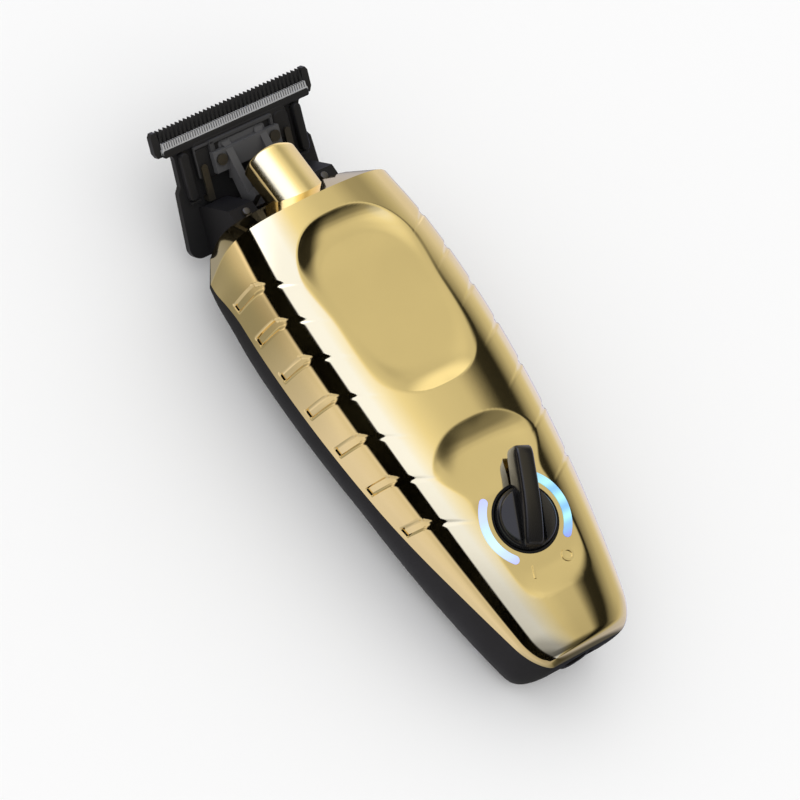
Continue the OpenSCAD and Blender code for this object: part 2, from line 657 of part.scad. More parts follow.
module commutator() {
    color("#c07838") along_y(motor_rear + cap_t + 1) difference() {
        cylinder(r = 2.4, h = 4);
        translate([0, 0, -1]) cylinder(r = shaft_r, h = 6);
        for (a = [0:120:240]) rotate([0, 0, a]) translate([1.8, -0.15, 0.5]) cube([2, 0.3, 5]);
    }
}
module eccentric_hub() {
    color("#c8a050") along_y(hub_y) difference() {
        union() {
            cylinder(r = 3, h = hub_len);
            intersection() {
                cylinder(r = hub_r, h = hub_len - 1.2);
                translate([-hub_r - 1, -hub_r, -1]) cube([hub_r + 1, 2 * hub_r, 10]);
            }
        }
        translate([0, 0, -1]) cylinder(r = shaft_r, h = hub_len + 2);
    }
}
module drive_pin() {
    color("#d8d8dc") translate([cutter_travel, 0, 0]) along_y(hub_y + hub_len)
        cylinder(r = pin_r, h = yoke_y + yoke_t + 0.6 - hub_y - hub_len);
}

// Battery with its tabs, in a cradle on the floor of the back cover
cell_z = wall + 0.6 + cell_d / 2;
cell_y = y_tail + 21;
module battery_cell() {
    color("#2d6fb0") translate([0, cell_y, cell_z]) rotate([-90, 0, 0]) cylinder(r = cell_d / 2, h = cell_len);
}
module battery_tabs() {
    color("#c8c8cc") for (y = [cell_y - 0.4, cell_y + cell_len]) {
        translate([0, y, cell_z]) rotate([-90, 0, 0]) cylinder(r = 4, h = 0.4);
        translate([-2, y, cell_z]) cube([4, 0.4, cell_d / 2]);
    }
}
module battery_cradle() {
    z0 = wall + seat;
    color("#2c2c2c") for (y = [cell_y + 3, cell_y + cell_len - 9]) difference() {
        translate([0, y + 6, 0]) rotate([90, 0, 0]) linear_extrude(6)
            polygon([[-6, z0], [6, z0], [8.4, z0 + 3], [8.4, cell_z - 2], [-8.4, cell_z - 2], [-8.4, z0 + 3]]);
        translate([0, y - 1, cell_z]) rotate([-90, 0, 0]) cylinder(r = cell_d / 2 + seat, h = 8);
    }
}
module battery_pad() {
    color("#606060") translate([0, cell_y + cell_len + 0.4, cell_z]) rotate([-90, 0, 0])
        cylinder(r = cell_d / 2 - 1, h = 2);
}

// Board, switch, lights and dial, all in the frame of the dial face
board_top = -5.2;
board_t = 1;
board_w = 24;
board_back = -9;
board_front = 20;
bezel_r = dial_r + 0.9;
module main_board() {
    color("#1f5a38") dial_frame() difference() {
        translate([-board_w / 2, board_back, board_top - board_t])
            cube([board_w, board_front - board_back, board_t]);
        for (s = [-1, 1]) translate([s * 10, board_front - 2.5, board_top - 2]) cylinder(r = 1.1, h = 3);
    }
}
module control_chips() {
    color("#202024") dial_frame() for (c = [[-6, 12, 5, 5], [2, 13, 4, 3], [-1, 6.5, 6, 3]])
        translate([c[0], c[1], board_top - board_t - 0.9]) cube([c[2], c[3], 0.9]);
}
module light_chips() {
    color("#f4f2c8") dial_frame() for (s = [-1, 1]) for (y = [-4, 3])
        translate([s * light_r - 0.8, y - 0.5, board_top]) cube([1.6, 1.6, 0.8]);
}
light_sweep = 88;
guide_top = 0.12;
guide_bottom = -2.4;
module light_arc(side, gap, z0, z1) {
    r = light_w / 2 + gap;
    end_x = light_r * cos(light_sweep / 2);
    end_y = light_r * sin(light_sweep / 2);
    turn = light_sweep / 2;
    translate([0, 0, z0]) rotate([0, 0, side]) linear_extrude(z1 - z0) polygon(concat(
        arc(0, 0, light_r + r, -turn, turn, 20), arc(end_x, end_y, r, turn + 20, turn + 160, 7),
        arc(0, 0, light_r - r, turn, -turn, 20), arc(end_x, -end_y, r, -turn - 160, -turn - 20, 7)));
}
module light_guide_left() { color("#dff4ff") dial_frame() light_arc(180, 0, guide_bottom, guide_top); }
module light_guide_right() { color("#bfe9ff") dial_frame() light_arc(0, 0, guide_bottom, guide_top); }

rotor_r = 3;
module switch_body() {
    color("#303034") dial_frame() difference() {
        translate([-6, -6, board_top]) cube([12, 12, 1.9]);
        translate([0, 0, board_top - 1]) cylinder(r = rotor_r + run_gap, h = 4);
    }
}
module switch_rotor() {
    color("#e0ddd0") dial_frame() difference() {
        translate([0, 0, board_top + 0.2]) cylinder(r = rotor_r, h = 1.6);
        translate([0, 0, board_top]) cylinder(r = dial_shaft_r, h = 3);
    }
}
bushing_r = 3.4;
bezel_floor = -2.6;
bezel_floor_t = 0.8;
module dial_bezel() {
    color("#101010") dial_frame() difference() {
        translate([0, 0, bezel_floor]) cylinder(r = bezel_r - seat, h = -bezel_floor - 0.1);
        translate([0, 0, bezel_floor + bezel_floor_t]) cylinder(r = dial_r + 0.3, h = 4);
        translate([0, 0, bezel_floor - 1]) cylinder(r = bushing_r, h = 4);
    }
}
module dial_bushing() {
    color("#c8b070") dial_frame() translate([0, 0, bezel_floor]) difference() {
        cylinder(r = bushing_r, h = bezel_floor_t);
        translate([0, 0, -1]) cylinder(r = dial_shaft_r + run_gap, h = 3);
    }
}
seal_r = 0.35;
module dial_seal() {
    color("#141414") dial_frame() translate([0, 0, bezel_floor + bezel_floor_t + seal_r])
        rotate_extrude() translate([5, 0]) circle(r = seal_r, $fn = 24);
}
dial_under = -0.8;
dial_top = 1.7;
module dial_shaft() {
    color("#c0c0c4") dial_frame() translate([0, 0, board_top + 0.2])
        cylinder(r = dial_shaft_r, h = dial_under - board_top - 0.2);
}
module dial_clip() {
    color("#b0b0b4") dial_frame() translate([0, 0, bezel_floor - 0.5]) difference() {
        cylinder(r = 3, h = 0.35);
        translate([0, 0, -1]) cylinder(r = dial_shaft_r, h = 3);
    }
}
// The lever points away from the mark that its tail points at: on when at rest
rest_angle = 90 - dial_turn / 2;
lever_tail = 7.8;
module power_dial() {
    color("#181818") dial_frame() {
        translate([0, 0, dial_under]) cylinder(r = dial_r, h = dial_top - dial_under - 0.5);
        translate([0, 0, dial_top - 0.5]) cylinder(r1 = dial_r, r2 = dial_r - 0.5, h = 0.5);
        rotate([0, 0, rest_angle]) translate([0, lever_w / 2, 0]) rotate([90, 0, 0]) linear_extrude(lever_w)
            polygon([[-lever_tail, 0.5], [lever_len - 1, 0.5], [lever_len, 1.4], [lever_len - 0.4, lever_h - 1],
                [lever_len - 2.4, lever_h], [0, lever_h], [-lever_tail + 1, 2.4]]);
    }
}
mark_r = 11.8;
mark_size = 2.8;
mark_h = 0.3;
mark_base = 0.06;
module dial_marks() {
    color("goldenrod") dial_frame() {
        rotate([0, 0, -90 - dial_turn / 2]) translate([mark_r - mark_size / 2, -0.25, mark_base])
            cube([mark_size, 0.5, mark_h]);
        rotate([0, 0, -90 + dial_turn / 2]) translate([mark_r, 0, mark_base]) difference() {
            cylinder(r = mark_size / 2, h = mark_h);
            translate([0, 0, -1]) cylinder(r = mark_size / 2 - 0.45, h = 3);
        }
    }
}

// Charging inlet in the tail
socket_r = inlet_r + 1.25;
socket_y = y_tail + 0.9;
socket_len = 10;
pin_root_r = 1.5;
pin_back = 0.8;
socket_depth = 8;
module charging_socket() {
    color("#1a1a1a") translate([0, socket_y, inlet_z]) rotate([-90, 0, 0]) difference() {
        cylinder(r = socket_r, h = socket_len);
        translate([0, 0, -1]) cylinder(r = inlet_r, h = socket_depth + 1);
        translate([0, 0, socket_depth - 1]) cylinder(r = pin_root_r, h = 5);
    }
}
module charging_pin() {
    color("#d8c070") translate([0, socket_y, inlet_z]) rotate([-90, 0, 0]) {
        translate([0, 0, pin_back]) cylinder(r = inlet_pin_r, h = socket_depth - pin_back);
        translate([0, 0, socket_depth]) cylinder(r = pin_root_r, h = socket_len - socket_depth + 0.8);
    }
}
module socket_bracket() {
    y0 = socket_y + 5.5;
    color("#2c2c2c") difference() {
        translate([-5.4, y0, belly_z(y0) + wall + 0.3])
            cube([10.8, 3.5, inlet_z + socket_r + 0.6 - belly_z(y0) - wall]);
        translate([0, y0 - 1, inlet_z]) rotate([-90, 0, 0]) cylinder(r = socket_r, h = 6);
    }
}

// Leads, swept along a cubic curve through four chosen points
lead_r = 0.5;
lead_sides = 8;
lead_rings = 14;
function curve(c, t) = pow(1 - t, 3) * c[0] + 3 * t * pow(1 - t, 2) * c[1] + 3 * t * t * (1 - t) * c[2]
    + pow(t, 3) * c[3];
function unit(v) = v / norm(v);
module lead(c) {
    points = [for (i = [0:lead_rings]) let (
            t = i / lead_rings,
            d = unit(curve(c, min(t + 0.01, 1)) - curve(c, max(t - 0.01, 0))),
            u = unit(cross(d, [1, 0.2, 0.1])),
            v = cross(d, u))
        each [for (j = [0:lead_sides - 1]) let (a = 360 * j / lead_sides)
            curve(c, t) + lead_r * (u * cos(a) + v * sin(a))]];
    n = lead_sides;
    polyhedron(points, concat(
        [for (i = [0:lead_rings - 1]) for (j = [0:n - 1]) let (m = (j + 1) % n)
            each [[i * n + m, i * n + j, (i + 1) * n + j], [i * n + m, (i + 1) * n + j, (i + 1) * n + m]]],
        [[for (j = [0:n - 1]) j]], [[for (j = [n - 1:-1:0]) lead_rings * n + j]]));
}
function board_point(x, y) = [x, dial_y + y * cos(dial_tilt) + (board_t - board_top) * sin(dial_tilt),
    dial_z + y * sin(dial_tilt) - (board_t - board_top) * cos(dial_tilt) - air];
module motor_leads() {
    color("#b02020") for (s = [-1, 1]) {
        a = board_point(s * 7, board_front - 3);
        b = [s * 6, motor_rear - 2.7, motor_z + 0.6];
        lead([a, a + [0, 1, -5], b + [0, -10, 0], b]);
    }
}
module battery_leads() {
    color("#202020") for (s = [-1, 1]) {
        a = board_point(s * 3.5, board_front - 1.5);
        b = [s * 1.2, cell_y + cell_len + 0.2, cell_z + cell_d / 2 + seat];
        lead([a, a + [0, 1, -3], b + [0, 0, 4], b]);
    }
}

front_housing();
back_cover();
seam_gasket();
housing_screws();
screw_posts();
nose_cover();
head_plate();
blade_mount();
mount_screws();
fixed_blade();
blade_screws();
tension_spring();
cutter_guides();
cutter_blade();
cutter_carrier();
carrier_rivets();
motor_can();
motor_front_cap();
motor_rear_cap();
motor_bearings();
motor_magnets();
motor_cradle();
motor_shaft();
armature();
commutator();
eccentric_hub();
drive_pin();
battery_cell();
battery_tabs();
battery_cradle();
battery_pad();
main_board();
control_chips();
light_chips();
light_guide_left();
light_guide_right();
switch_body();
switch_rotor();
dial_bushing();
dial_seal();
dial_bezel();
dial_shaft();
power_dial();
dial_clip();
dial_marks();
charging_socket();
charging_pin();
socket_bracket();
motor_leads();
battery_leads();
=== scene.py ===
"""Looks of the cordless hair trimmer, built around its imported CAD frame.

Lengths in the shapes are millimetres and MM turns them into metres. X runs to the trimmer's right,
Y from its tail to its blade and Z up from the back that it rests on.
"""
import json
import math

import bmesh
import bpy
import numpy as np
from mathutils import Matrix, Vector


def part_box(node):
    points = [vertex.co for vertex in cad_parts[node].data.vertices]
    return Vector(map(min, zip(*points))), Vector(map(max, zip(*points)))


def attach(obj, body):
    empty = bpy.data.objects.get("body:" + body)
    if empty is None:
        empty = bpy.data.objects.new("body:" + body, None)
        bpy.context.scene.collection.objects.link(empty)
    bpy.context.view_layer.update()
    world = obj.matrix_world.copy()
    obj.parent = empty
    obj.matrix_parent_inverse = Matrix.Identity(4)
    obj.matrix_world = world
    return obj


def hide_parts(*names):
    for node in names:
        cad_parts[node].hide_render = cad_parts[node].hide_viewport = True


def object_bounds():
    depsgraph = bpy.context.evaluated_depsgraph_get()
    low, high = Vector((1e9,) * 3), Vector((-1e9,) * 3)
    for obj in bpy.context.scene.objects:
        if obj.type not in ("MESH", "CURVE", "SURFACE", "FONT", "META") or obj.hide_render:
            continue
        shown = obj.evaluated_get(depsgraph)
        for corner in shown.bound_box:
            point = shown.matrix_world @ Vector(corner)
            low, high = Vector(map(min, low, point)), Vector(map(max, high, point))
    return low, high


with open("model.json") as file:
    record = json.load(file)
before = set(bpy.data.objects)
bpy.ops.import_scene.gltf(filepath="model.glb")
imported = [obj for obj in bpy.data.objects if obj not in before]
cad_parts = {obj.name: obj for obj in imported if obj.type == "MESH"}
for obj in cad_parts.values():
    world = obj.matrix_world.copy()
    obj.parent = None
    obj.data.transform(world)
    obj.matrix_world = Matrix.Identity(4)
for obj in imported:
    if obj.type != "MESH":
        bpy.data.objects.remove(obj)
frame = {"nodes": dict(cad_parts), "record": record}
cad_low, cad_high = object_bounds()
NODES = frame["nodes"]
MM = 0.001

# ---------------------------------------------------------------- camera
# Solved so that the blade, the seam, the dial and the tail land where the photo shows them (metres)
CAMERA_AZIMUTH = math.radians(-60.9)
CAMERA_ELEVATION = math.radians(57.7)
CAMERA_ROLL = math.radians(30.3)
CAMERA_DISTANCE = 0.955
CAMERA_LENS = 197.0
CAMERA_SHIFT = 0.04
CAMERA_TARGET = Vector((0, 0.00365, 0))


def make_camera():
    """The photo's camera: azimuth and elevation over the middle of the trimmer, then the roll."""
    a, e = CAMERA_AZIMUTH, CAMERA_ELEVATION
    back = Vector((math.sin(a) * math.cos(e), -math.cos(a) * math.cos(e), math.sin(e)))
    data = bpy.data.cameras.new("camera")
    data.lens = CAMERA_LENS
    data.shift_x = CAMERA_SHIFT
    camera = bpy.data.objects.new("camera", data)
    bpy.context.scene.collection.objects.link(camera)
    camera.location = CAMERA_TARGET + back * CAMERA_DISTANCE
    level = (-back).to_track_quat("-Z", "Y").to_matrix()
    camera.rotation_euler = (level @ Matrix.Rotation(CAMERA_ROLL, 3, "Z")).to_euler()
    bpy.context.scene.camera = camera


# ---------------------------------------------------------------- light
def new_node(tree, kind, **settings):
    node = tree.nodes.new(kind)
    for name, value in settings.items():
        setattr(node, name, value)
    return node


def ramp(tree, value, stops, smooth="EASE"):
    """A colour ramp over value; stops are (place, grey or colour)."""
    node = new_node(tree, "ShaderNodeValToRGB")
    node.color_ramp.interpolation = smooth
    items = node.color_ramp.elements
    while len(items) < len(stops):
        items.new(0.5)
    for item, (place, colour) in zip(items, stops):
        item.position = place
        item.color = (*colour, 1) if isinstance(colour, tuple) else (colour, colour, colour, 1)
    tree.links.new(value, node.inputs[0])
    return node.outputs[0]


def math_node(tree, kind, a, b=None):
    node = new_node(tree, "ShaderNodeMath", operation=kind)
    for socket, value in zip(node.inputs, (a, b)):
        if value is None:
            continue
        if isinstance(value, (int, float)):
            socket.default_value = value
        else:
            tree.links.new(value, socket)
    return node.outputs[0]


# The brightest light in the tables below: they are divided by it for the ramps, which stop at 1
LIGHT_SCALE = 3.0
# The strip light is bluish, so that it looks cream on the gold
STRIP = (1.12, 1.36, 2.7)
RIM = (0.86, 0.92, 1.5)
SIDE = (0.86, 0.85, 1.05)
HEAD_SIDE = (0.8, 0.8, 1.0)
# Light round the long axis of the trimmer: degrees from overhead, left is negative.
# HEAD_LIGHT is seen in faces that lean to the blade, TAIL_LIGHT in all the others.
HEAD_LIGHT = [
    (-180, 0.25), (-150, 0.33), (-120, (0.42, 0.4, 0.42)), (-100, (0.48, 0.46, 0.5)),
    (-88, (0.7, 0.66, 0.75)), (-80, 0.0), (-31, 0.0), (-29, STRIP), (3, STRIP),
    (17, 1.0), (28, 0.7), (35, 0.66), (42, 0.4), (50, 0.36), (60, 0.55),
    (78, HEAD_SIDE), (125, HEAD_SIDE), (150, 0.12), (180, 0.25),
]
TAIL_LIGHT = [
    (-180, 0.5), (-150, SIDE), (-120, SIDE), (-100, (0.8, 0.78, 0.9)), (-88, SIDE),
    (-80, 0.0), (-31, 0.0), (-29, STRIP), (-9, STRIP), (3, (1.1, 1.2, 1.7)),
    (12, 0.98), (22, 0.76), (33, 0.68), (39, 0.2), (43, 0.03), (53, 0.02), (59, 0.3), (68, 0.58),
    (80, 0.75), (94, RIM), (125, RIM), (150, 0.1), (180, 0.5),
]
# Where a reflection runs along the trimmer: 0 straight to the tail, 0.5 square to it, 1 straight to the blade
HEAD_BLEND = (0.59, 0.66)
ENDS = [
    (0.0, 0.08), (0.17, 0.12), (0.27, 0.32), (0.36, 0.62), (0.43, 0.9), (0.5, 1.0), (0.68, 1.0),
    (0.75, 1.75), (0.86, 1.8), (0.94, 1.0),
]
LOW_ENDS = [(0.0, 0.55), (0.43, 0.85), (0.5, 1.0), (0.68, 1.0), (0.75, 1.6), (0.94, 1.0)]
# Height of a reflection, 0.5 level and 1 straight up, over which LOW_ENDS gives way to ENDS
LOW_BLEND = (0.58, 0.68)
ROOM_LIGHT = 1.05


def round_light(tree, turn, table):
    """The light of a table over turn, which goes from 0 to 1 round the long axis."""
    stops = []
    for angle, light in table:
        colour = light if isinstance(light, tuple) else (light, light, light)
        stops.append(((angle + 180) / 360, tuple(c / LIGHT_SCALE for c in colour)))
    return ramp(tree, turn, stops, "LINEAR")


def blend_colours(tree, share, first, second, kind="MIX"):
    mix = new_node(tree, "ShaderNodeMix", data_type="RGBA", blend_type=kind)
    for socket, value in ((mix.inputs[0], share), (mix.inputs[6], first), (mix.inputs[7], second)):
        if isinstance(value, float):
            socket.default_value = value
        else:
            tree.links.new(value, socket)
    return mix.outputs[2]


def make_world():
    """A studio that only shows in reflections, and a plain white room that lights the rest."""
    world = bpy.data.worlds.new("studio")
    bpy.context.scene.world = world
    world.use_nodes = True
    tree = world.node_tree
    tree.nodes.clear()
    place = new_node(tree, "ShaderNodeTexCoord")
    split = new_node(tree, "ShaderNodeSeparateXYZ")
    tree.links.new(place.outputs["Generated"], split.inputs[0])
    angle = math_node(tree, "ARCTAN2", split.outputs[0], split.outputs[2])
    turn = math_node(tree, "ADD", math_node(tree, "DIVIDE", angle, 2 * math.pi), 0.5)
    along = math_node(tree, "ADD", math_node(tree, "MULTIPLY", split.outputs[1], 0.5), 0.5)
    towards_head = ramp(tree, along, [(HEAD_BLEND[0], 0.0), (HEAD_BLEND[1], 1.0)], "LINEAR")
    tail_light = round_light(tree, turn, TAIL_LIGHT)
    light = blend_colours(tree, towards_head, tail_light, round_light(tree, turn, HEAD_LIGHT))
    ends = ramp(tree, along, ENDS)
    low_ends = ramp(tree, along, LOW_ENDS)
    up = math_node(tree, "ADD", math_node(tree, "MULTIPLY", split.outputs[2], 0.5), 0.5)
    low_down = ramp(tree, up, [(LOW_BLEND[0], 1.0), (LOW_BLEND[1], 0.0)], "LINEAR")
    light = blend_colours(tree, 1.0, light, blend_colours(tree, low_down, ends, low_ends), "MULTIPLY")
    path = new_node(tree, "ShaderNodeLightPath")
    reflected = new_node(tree, "ShaderNodeBackground")
    tree.links.new(light, reflected.inputs["Color"])
    reflected.inputs["Strength"].default_value = LIGHT_SCALE
    room = new_node(tree, "ShaderNodeBackground")
    room.inputs["Color"].default_value = (1.0, 1.0, 1.0, 1)
    room.inputs["Strength"].default_value = ROOM_LIGHT
    mix = new_node(tree, "ShaderNodeMixShader")
    tree.links.new(path.outputs["Is Glossy Ray"], mix.inputs[0])
    tree.links.new(room.outputs[0], mix.inputs[1])
    tree.links.new(reflected.outputs[0], mix.inputs[2])
    out = new_node(tree, "ShaderNodeOutputWorld")
    tree.links.new(mix.outputs[0], out.inputs[0])


FLOOR_HALF = 1.5
FLOOR_GAP = 0.0003


def make_floor():
    """A white sheet just under the trimmer (metres), left out of reflections."""
    mesh = bpy.data.meshes.new("floor")
    half = FLOOR_HALF
    corners = [(-half, -half, 0), (half, -half, 0), (half, half, 0), (-half, half, 0)]
    mesh.from_pydata(corners, [], [(0, 1, 2, 3)])
    floor = bpy.data.objects.new("floor", mesh)
    bpy.context.scene.collection.objects.link(floor)
    floor.location.z = -FLOOR_GAP
    floor.visible_glossy = False
    material = bpy.data.materials.new("floor")
    material.use_nodes = True
    shader = material.node_tree.nodes["Principled BSDF"]
    shader.inputs["Base Color"].default_value = (0.93, 0.93, 0.93, 1)
    shader.inputs["Roughness"].default_value = 0.9
    shader.inputs["Specular IOR Level"].default_value = 0.1
    mesh.materials.append(material)


# ---------------------------------------------------------------- materials
# Dark plastics and paints mirror the bluish strip light, so their mirror image is tinted back and kept weak
DARK_LIMIT = 0.12
DARK_TINT = (1.0, 0.84, 0.5, 1)
DARK_SHINE, DARK_SHEEN = 0.5, 0.12
GLOSSY_LIMIT = 0.4
NOISE_SCALE = 90
NOISE_LOW, NOISE_HIGH = 0.3, 0.7
GRAIN_LIFT = 0.0001
GUIDE_GLOW = 0.85


def surface(name, colour, rough, metal=0.0, coat=0.0, grain=None, bump=0.0, vary=0.06, rough_vary=0.05):
    """A procedural finish: colour and roughness wander with two noises, and a grain lifts the surface."""
    material = bpy.data.materials.new(name)
    material.use_nodes = True
    tree = material.node_tree
    shader = tree.nodes["Principled BSDF"]
    shader.inputs["Metallic"].default_value = metal
    if metal < 0.5 and max(colour) < DARK_LIMIT:
        shader.inputs["Specular Tint"].default_value = DARK_TINT
        shader.inputs["Specular IOR Level"].default_value = DARK_SHINE if rough < GLOSSY_LIMIT else DARK_SHEEN
    if coat:
        shader.inputs["Coat Weight"].default_value = coat
        shader.inputs["Coat Roughness"].default_value = 0.08
    place = new_node(tree, "ShaderNodeTexCoord")
    wide = new_node(tree, "ShaderNodeTexNoise")
    wide.inputs["Scale"].default_value = NOISE_SCALE
    wide.inputs["Detail"].default_value = 4
    tree.links.new(place.outputs["Object"], wide.inputs["Vector"])
    low = tuple(c * (1 - vary) for c in colour)
    high = tuple(min(c * (1 + vary), 1) for c in colour)
    wandering = ramp(tree, wide.outputs[0], [(NOISE_LOW, low), (NOISE_HIGH, high)], "LINEAR")
    tree.links.new(wandering, shader.inputs["Base Color"])
    span = new_node(tree, "ShaderNodeMapRange")
    span.inputs["From Min"].default_value = NOISE_LOW
    span.inputs["From Max"].default_value = NOISE_HIGH
    span.inputs["To Min"].default_value = max(rough - rough_vary, 0.01)
    span.inputs["To Max"].default_value = rough + rough_vary
    tree.links.new(wide.outputs[0], span.inputs["Value"])
    tree.links.new(span.outputs[0], shader.inputs["Roughness"])
    if bump:
        fine = new_node(tree, "ShaderNodeTexNoise")
        fine.inputs["Scale"].default_value = grain or 3000
        fine.inputs["Detail"].default_value = 2
        tree.links.new(place.outputs["Object"], fine.inputs["Vector"])
        lift = new_node(tree, "ShaderNodeBump")
        lift.inputs["Strength"].default_value = bump
        lift.inputs["Distance"].default_value = GRAIN_LIFT
        tree.links.new(fine.outputs[0], lift.inputs["Height"])
        tree.links.new(lift.outputs[0], shader.inputs["Normal"])
    return material


def glow(name, node, stops):
    """A lit light guide: its colour runs along the trimmer, with soft brighter spots over the lamps."""
    material = surface(name, (0.25, 0.3, 0.35), 0.25, vary=0.05)
    tree = material.node_tree
    shader = tree.nodes["Principled BSDF"]
    place = new_node(tree, "ShaderNodeTexCoord")
    split = new_node(tree, "ShaderNodeSeparateXYZ")
    tree.links.new(place.outputs["Object"], split.inputs[0])
    low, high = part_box(node)
    share = math_node(tree, "DIVIDE", math_node(tree, "SUBTRACT", split.outputs[1], low.y), high.y - low.y)
    tree.links.new(ramp(tree, share, stops), shader.inputs["Emission Color"])
    shader.inputs["Emission Strength"].default_value = GUIDE_GLOW
    return material


GOLD = (0.87, 0.67, 0.275)
# Colours of the lit guides from their tail end (0) to their blade end (1)
LEFT_GLOW = [
    (0.0, (0.42, 0.42, 0.95)), (0.16, (0.5, 0.66, 0.98)), (0.34, (0.6, 0.88, 1.0)),
    (0.55, (0.52, 0.8, 1.0)), (0.72, (0.5, 0.62, 0.98)), (1.0, (0.44, 0.44, 0.98)),
]
RIGHT_GLOW = [
    (0.0, (0.12, 0.16, 0.8)), (0.14, (0.1, 0.4, 0.88)), (0.26, (0.3, 0.85, 0.95)), (0.38, (0.08, 0.42, 0.85)),
    (0.52, (0.32, 0.86, 0.95)), (0.66, (0.1, 0.46, 0.85)), (0.78, (0.34, 0.84, 0.92)), (1.0, (0.2, 0.6, 0.82)),
]


def make_materials():
    """One finish for each material slot of the record, and a few for pieces that need their own."""
    m = {}
    plated = {"metal": 1.0, "vary": 0.015, "rough_vary": 0.02, "grain": 900, "bump": 0.015}
    m["gold"] = surface("gold", GOLD, 0.07, **plated)
    m["gold_soft"] = surface("gold_soft", GOLD, 0.2, **plated)
    m["black_satin"] = surface("black_satin", (0.0075, 0.0075, 0.0078), 0.46, bump=0.25, grain=4500)
    m["black_plastic"] = surface("black_plastic", (0.012, 0.012, 0.013), 0.5, bump=0.3, grain=4000)
    m["dial_black"] = surface("dial_black", (0.010, 0.010, 0.011), 0.2, bump=0.06, grain=5000)
    m["blade_black"] = surface("blade_black", (0.02, 0.02, 0.021), 0.42, bump=0.2, grain=3500)
    m["cutter_steel"] = surface("cutter_steel", (0.5, 0.5, 0.5), 0.45, metal=0.2, bump=0.2, grain=3500)
    m["carrier_grey"] = surface("carrier_grey", (0.085, 0.085, 0.088), 0.42, bump=0.25, grain=3500)
    m["steel"] = surface("steel", (0.56, 0.56, 0.58), 0.28, metal=1.0, bump=0.1)
    m["inner_plastic"] = surface("inner_plastic", (0.04, 0.04, 0.04), 0.55, bump=0.2)
    m["rubber"] = surface("rubber", (0.02, 0.02, 0.02), 0.75, bump=0.3)
    m["bronze"] = surface("bronze", (0.62, 0.42, 0.2), 0.32, metal=1.0)
    m["copper"] = surface("copper", (0.72, 0.33, 0.18), 0.3, metal=1.0, bump=0.3, grain=2500)
    m["ferrite"] = surface("ferrite", (0.06, 0.06, 0.065), 0.6, bump=0.3)
    m["pale_plastic"] = surface("pale_plastic", (0.72, 0.69, 0.6), 0.45)
    m["cell_wrap"] = surface("cell_wrap", (0.05, 0.2, 0.5), 0.25, coat=0.3)
    m["board_green"] = surface("board_green", (0.02, 0.16, 0.07), 0.3, coat=0.4)
    m["chip_black"] = surface("chip_black", (0.02, 0.02, 0.02), 0.5)
    m["led"] = surface("led", (0.9, 0.9, 0.7), 0.2)
    m["light_cyan"] = surface("light_cyan", (0.55, 0.85, 1.0), 0.25)
    m["glow_left"] = glow("glow_left", "light_guide_left", LEFT_GLOW)
    m["glow_right"] = glow("glow_right", "light_guide_right", RIGHT_GLOW)
    m["frame_grey"] = surface("frame_grey", (0.045, 0.045, 0.047), 0.5, bump=0.3, grain=3500)
    m["cutter_dark"] = surface("cutter_dark", (0.018, 0.018, 0.019), 0.45, bump=0.3, grain=3500)
    m["dark_steel"] = surface("dark_steel", (0.09, 0.08, 0.06), 0.4, metal=0.8, bump=0.1)
    m["lead_red"] = surface("lead_red", (0.5, 0.02, 0.02), 0.5)
    m["lead_black"] = surface("lead_black", (0.02, 0.02, 0.02), 0.5)
    return m


def finish_with(obj, material):
    obj.data.materials.clear()
    obj.data.materials.append(material)


# ---------------------------------------------------------------- mesh helpers
def raw_mesh(name, vertices, faces):
    """A closed mesh from millimetre points, with its faces turned outwards."""
    mesh = bpy.data.meshes.new(name)
    mesh.from_pydata([tuple(c * MM for c in v) for v in vertices], [], [tuple(f) for f in faces])
    mesh.validate()
    obj = bpy.data.objects.new(name, mesh)
    bpy.context.scene.collection.objects.link(obj)
    edit = bmesh.new()
    edit.from_mesh(mesh)
    bmesh.ops.recalc_face_normals(edit, faces=edit.faces)
    edit.to_mesh(mesh)
    edit.free()
    return obj


def shade(obj, angle):
    """Smooth shading with hard edges where faces meet at more than angle degrees."""
    obj.data.shade_smooth()
    obj.data.set_sharp_from_angle(angle=math.radians(angle))


def add_piece(name, vertices, faces, material, body, nodes=(), angle=40):
    """A finished piece that rides on a body and stands for CAD nodes."""
    obj = raw_mesh(name, vertices, faces)
    obj.data.materials.append(material)
    shade(obj, angle)
    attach(obj, body)
    if nodes:
        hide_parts(*nodes)
    return obj


def apply_modifiers(obj):
    """Makes what the modifiers do part of the mesh."""
    bpy.context.view_layer.update()
    graph = bpy.context.evaluated_depsgraph_get()
    made = bpy.data.meshes.new_from_object(obj.evaluated_get(graph))
    obj.modifiers.clear()
    old = obj.data
    obj.data = made
    bpy.data.meshes.remove(old)


def cut(obj, cutters, solver="MANIFOLD"):
    """Takes the cutters out of obj and removes them."""
    for cutter in cutters:
        tool = obj.modifiers.new("cut", "BOOLEAN")
        tool.operation = "DIFFERENCE"
        tool.solver = solver
        tool.object = cutter
    apply_modifiers(obj)
    for cutter in cutters:
        bpy.data.objects.remove(cutter)


def prism(outline, low, high):
    """Vertices and faces of an outline in x, y carried from z low to z high."""
    n = len(outline)
    vertices = [(x, y, low) for x, y in outline] + [(x, y, high) for x, y in outline]
    faces = [tuple(range(n)), tuple(range(n, 2 * n))]
    faces += [(i, (i + 1) % n, n + (i + 1) % n, n + i) for i in range(n)]
    return vertices, faces


def arc(cx, cy, r, start, end, steps):
    """Points on an arc round cx, cy, from start to end in degrees."""
    return [(cx + r * math.cos(math.radians(start + (end - start) * i / steps)),
             cy + r * math.sin(math.radians(start + (end - start) * i / steps))) for i in range(steps + 1)]


def placed(frame_matrix, vertices):
    return [frame_matrix @ Vector(v) for v in vertices]


# ---------------------------------------------------------------- shape of the body, as in the CAD
BODY_LEN = 112.2
BODY_W = 47.6
HEAD_W = 44.4
TAIL_W = 25
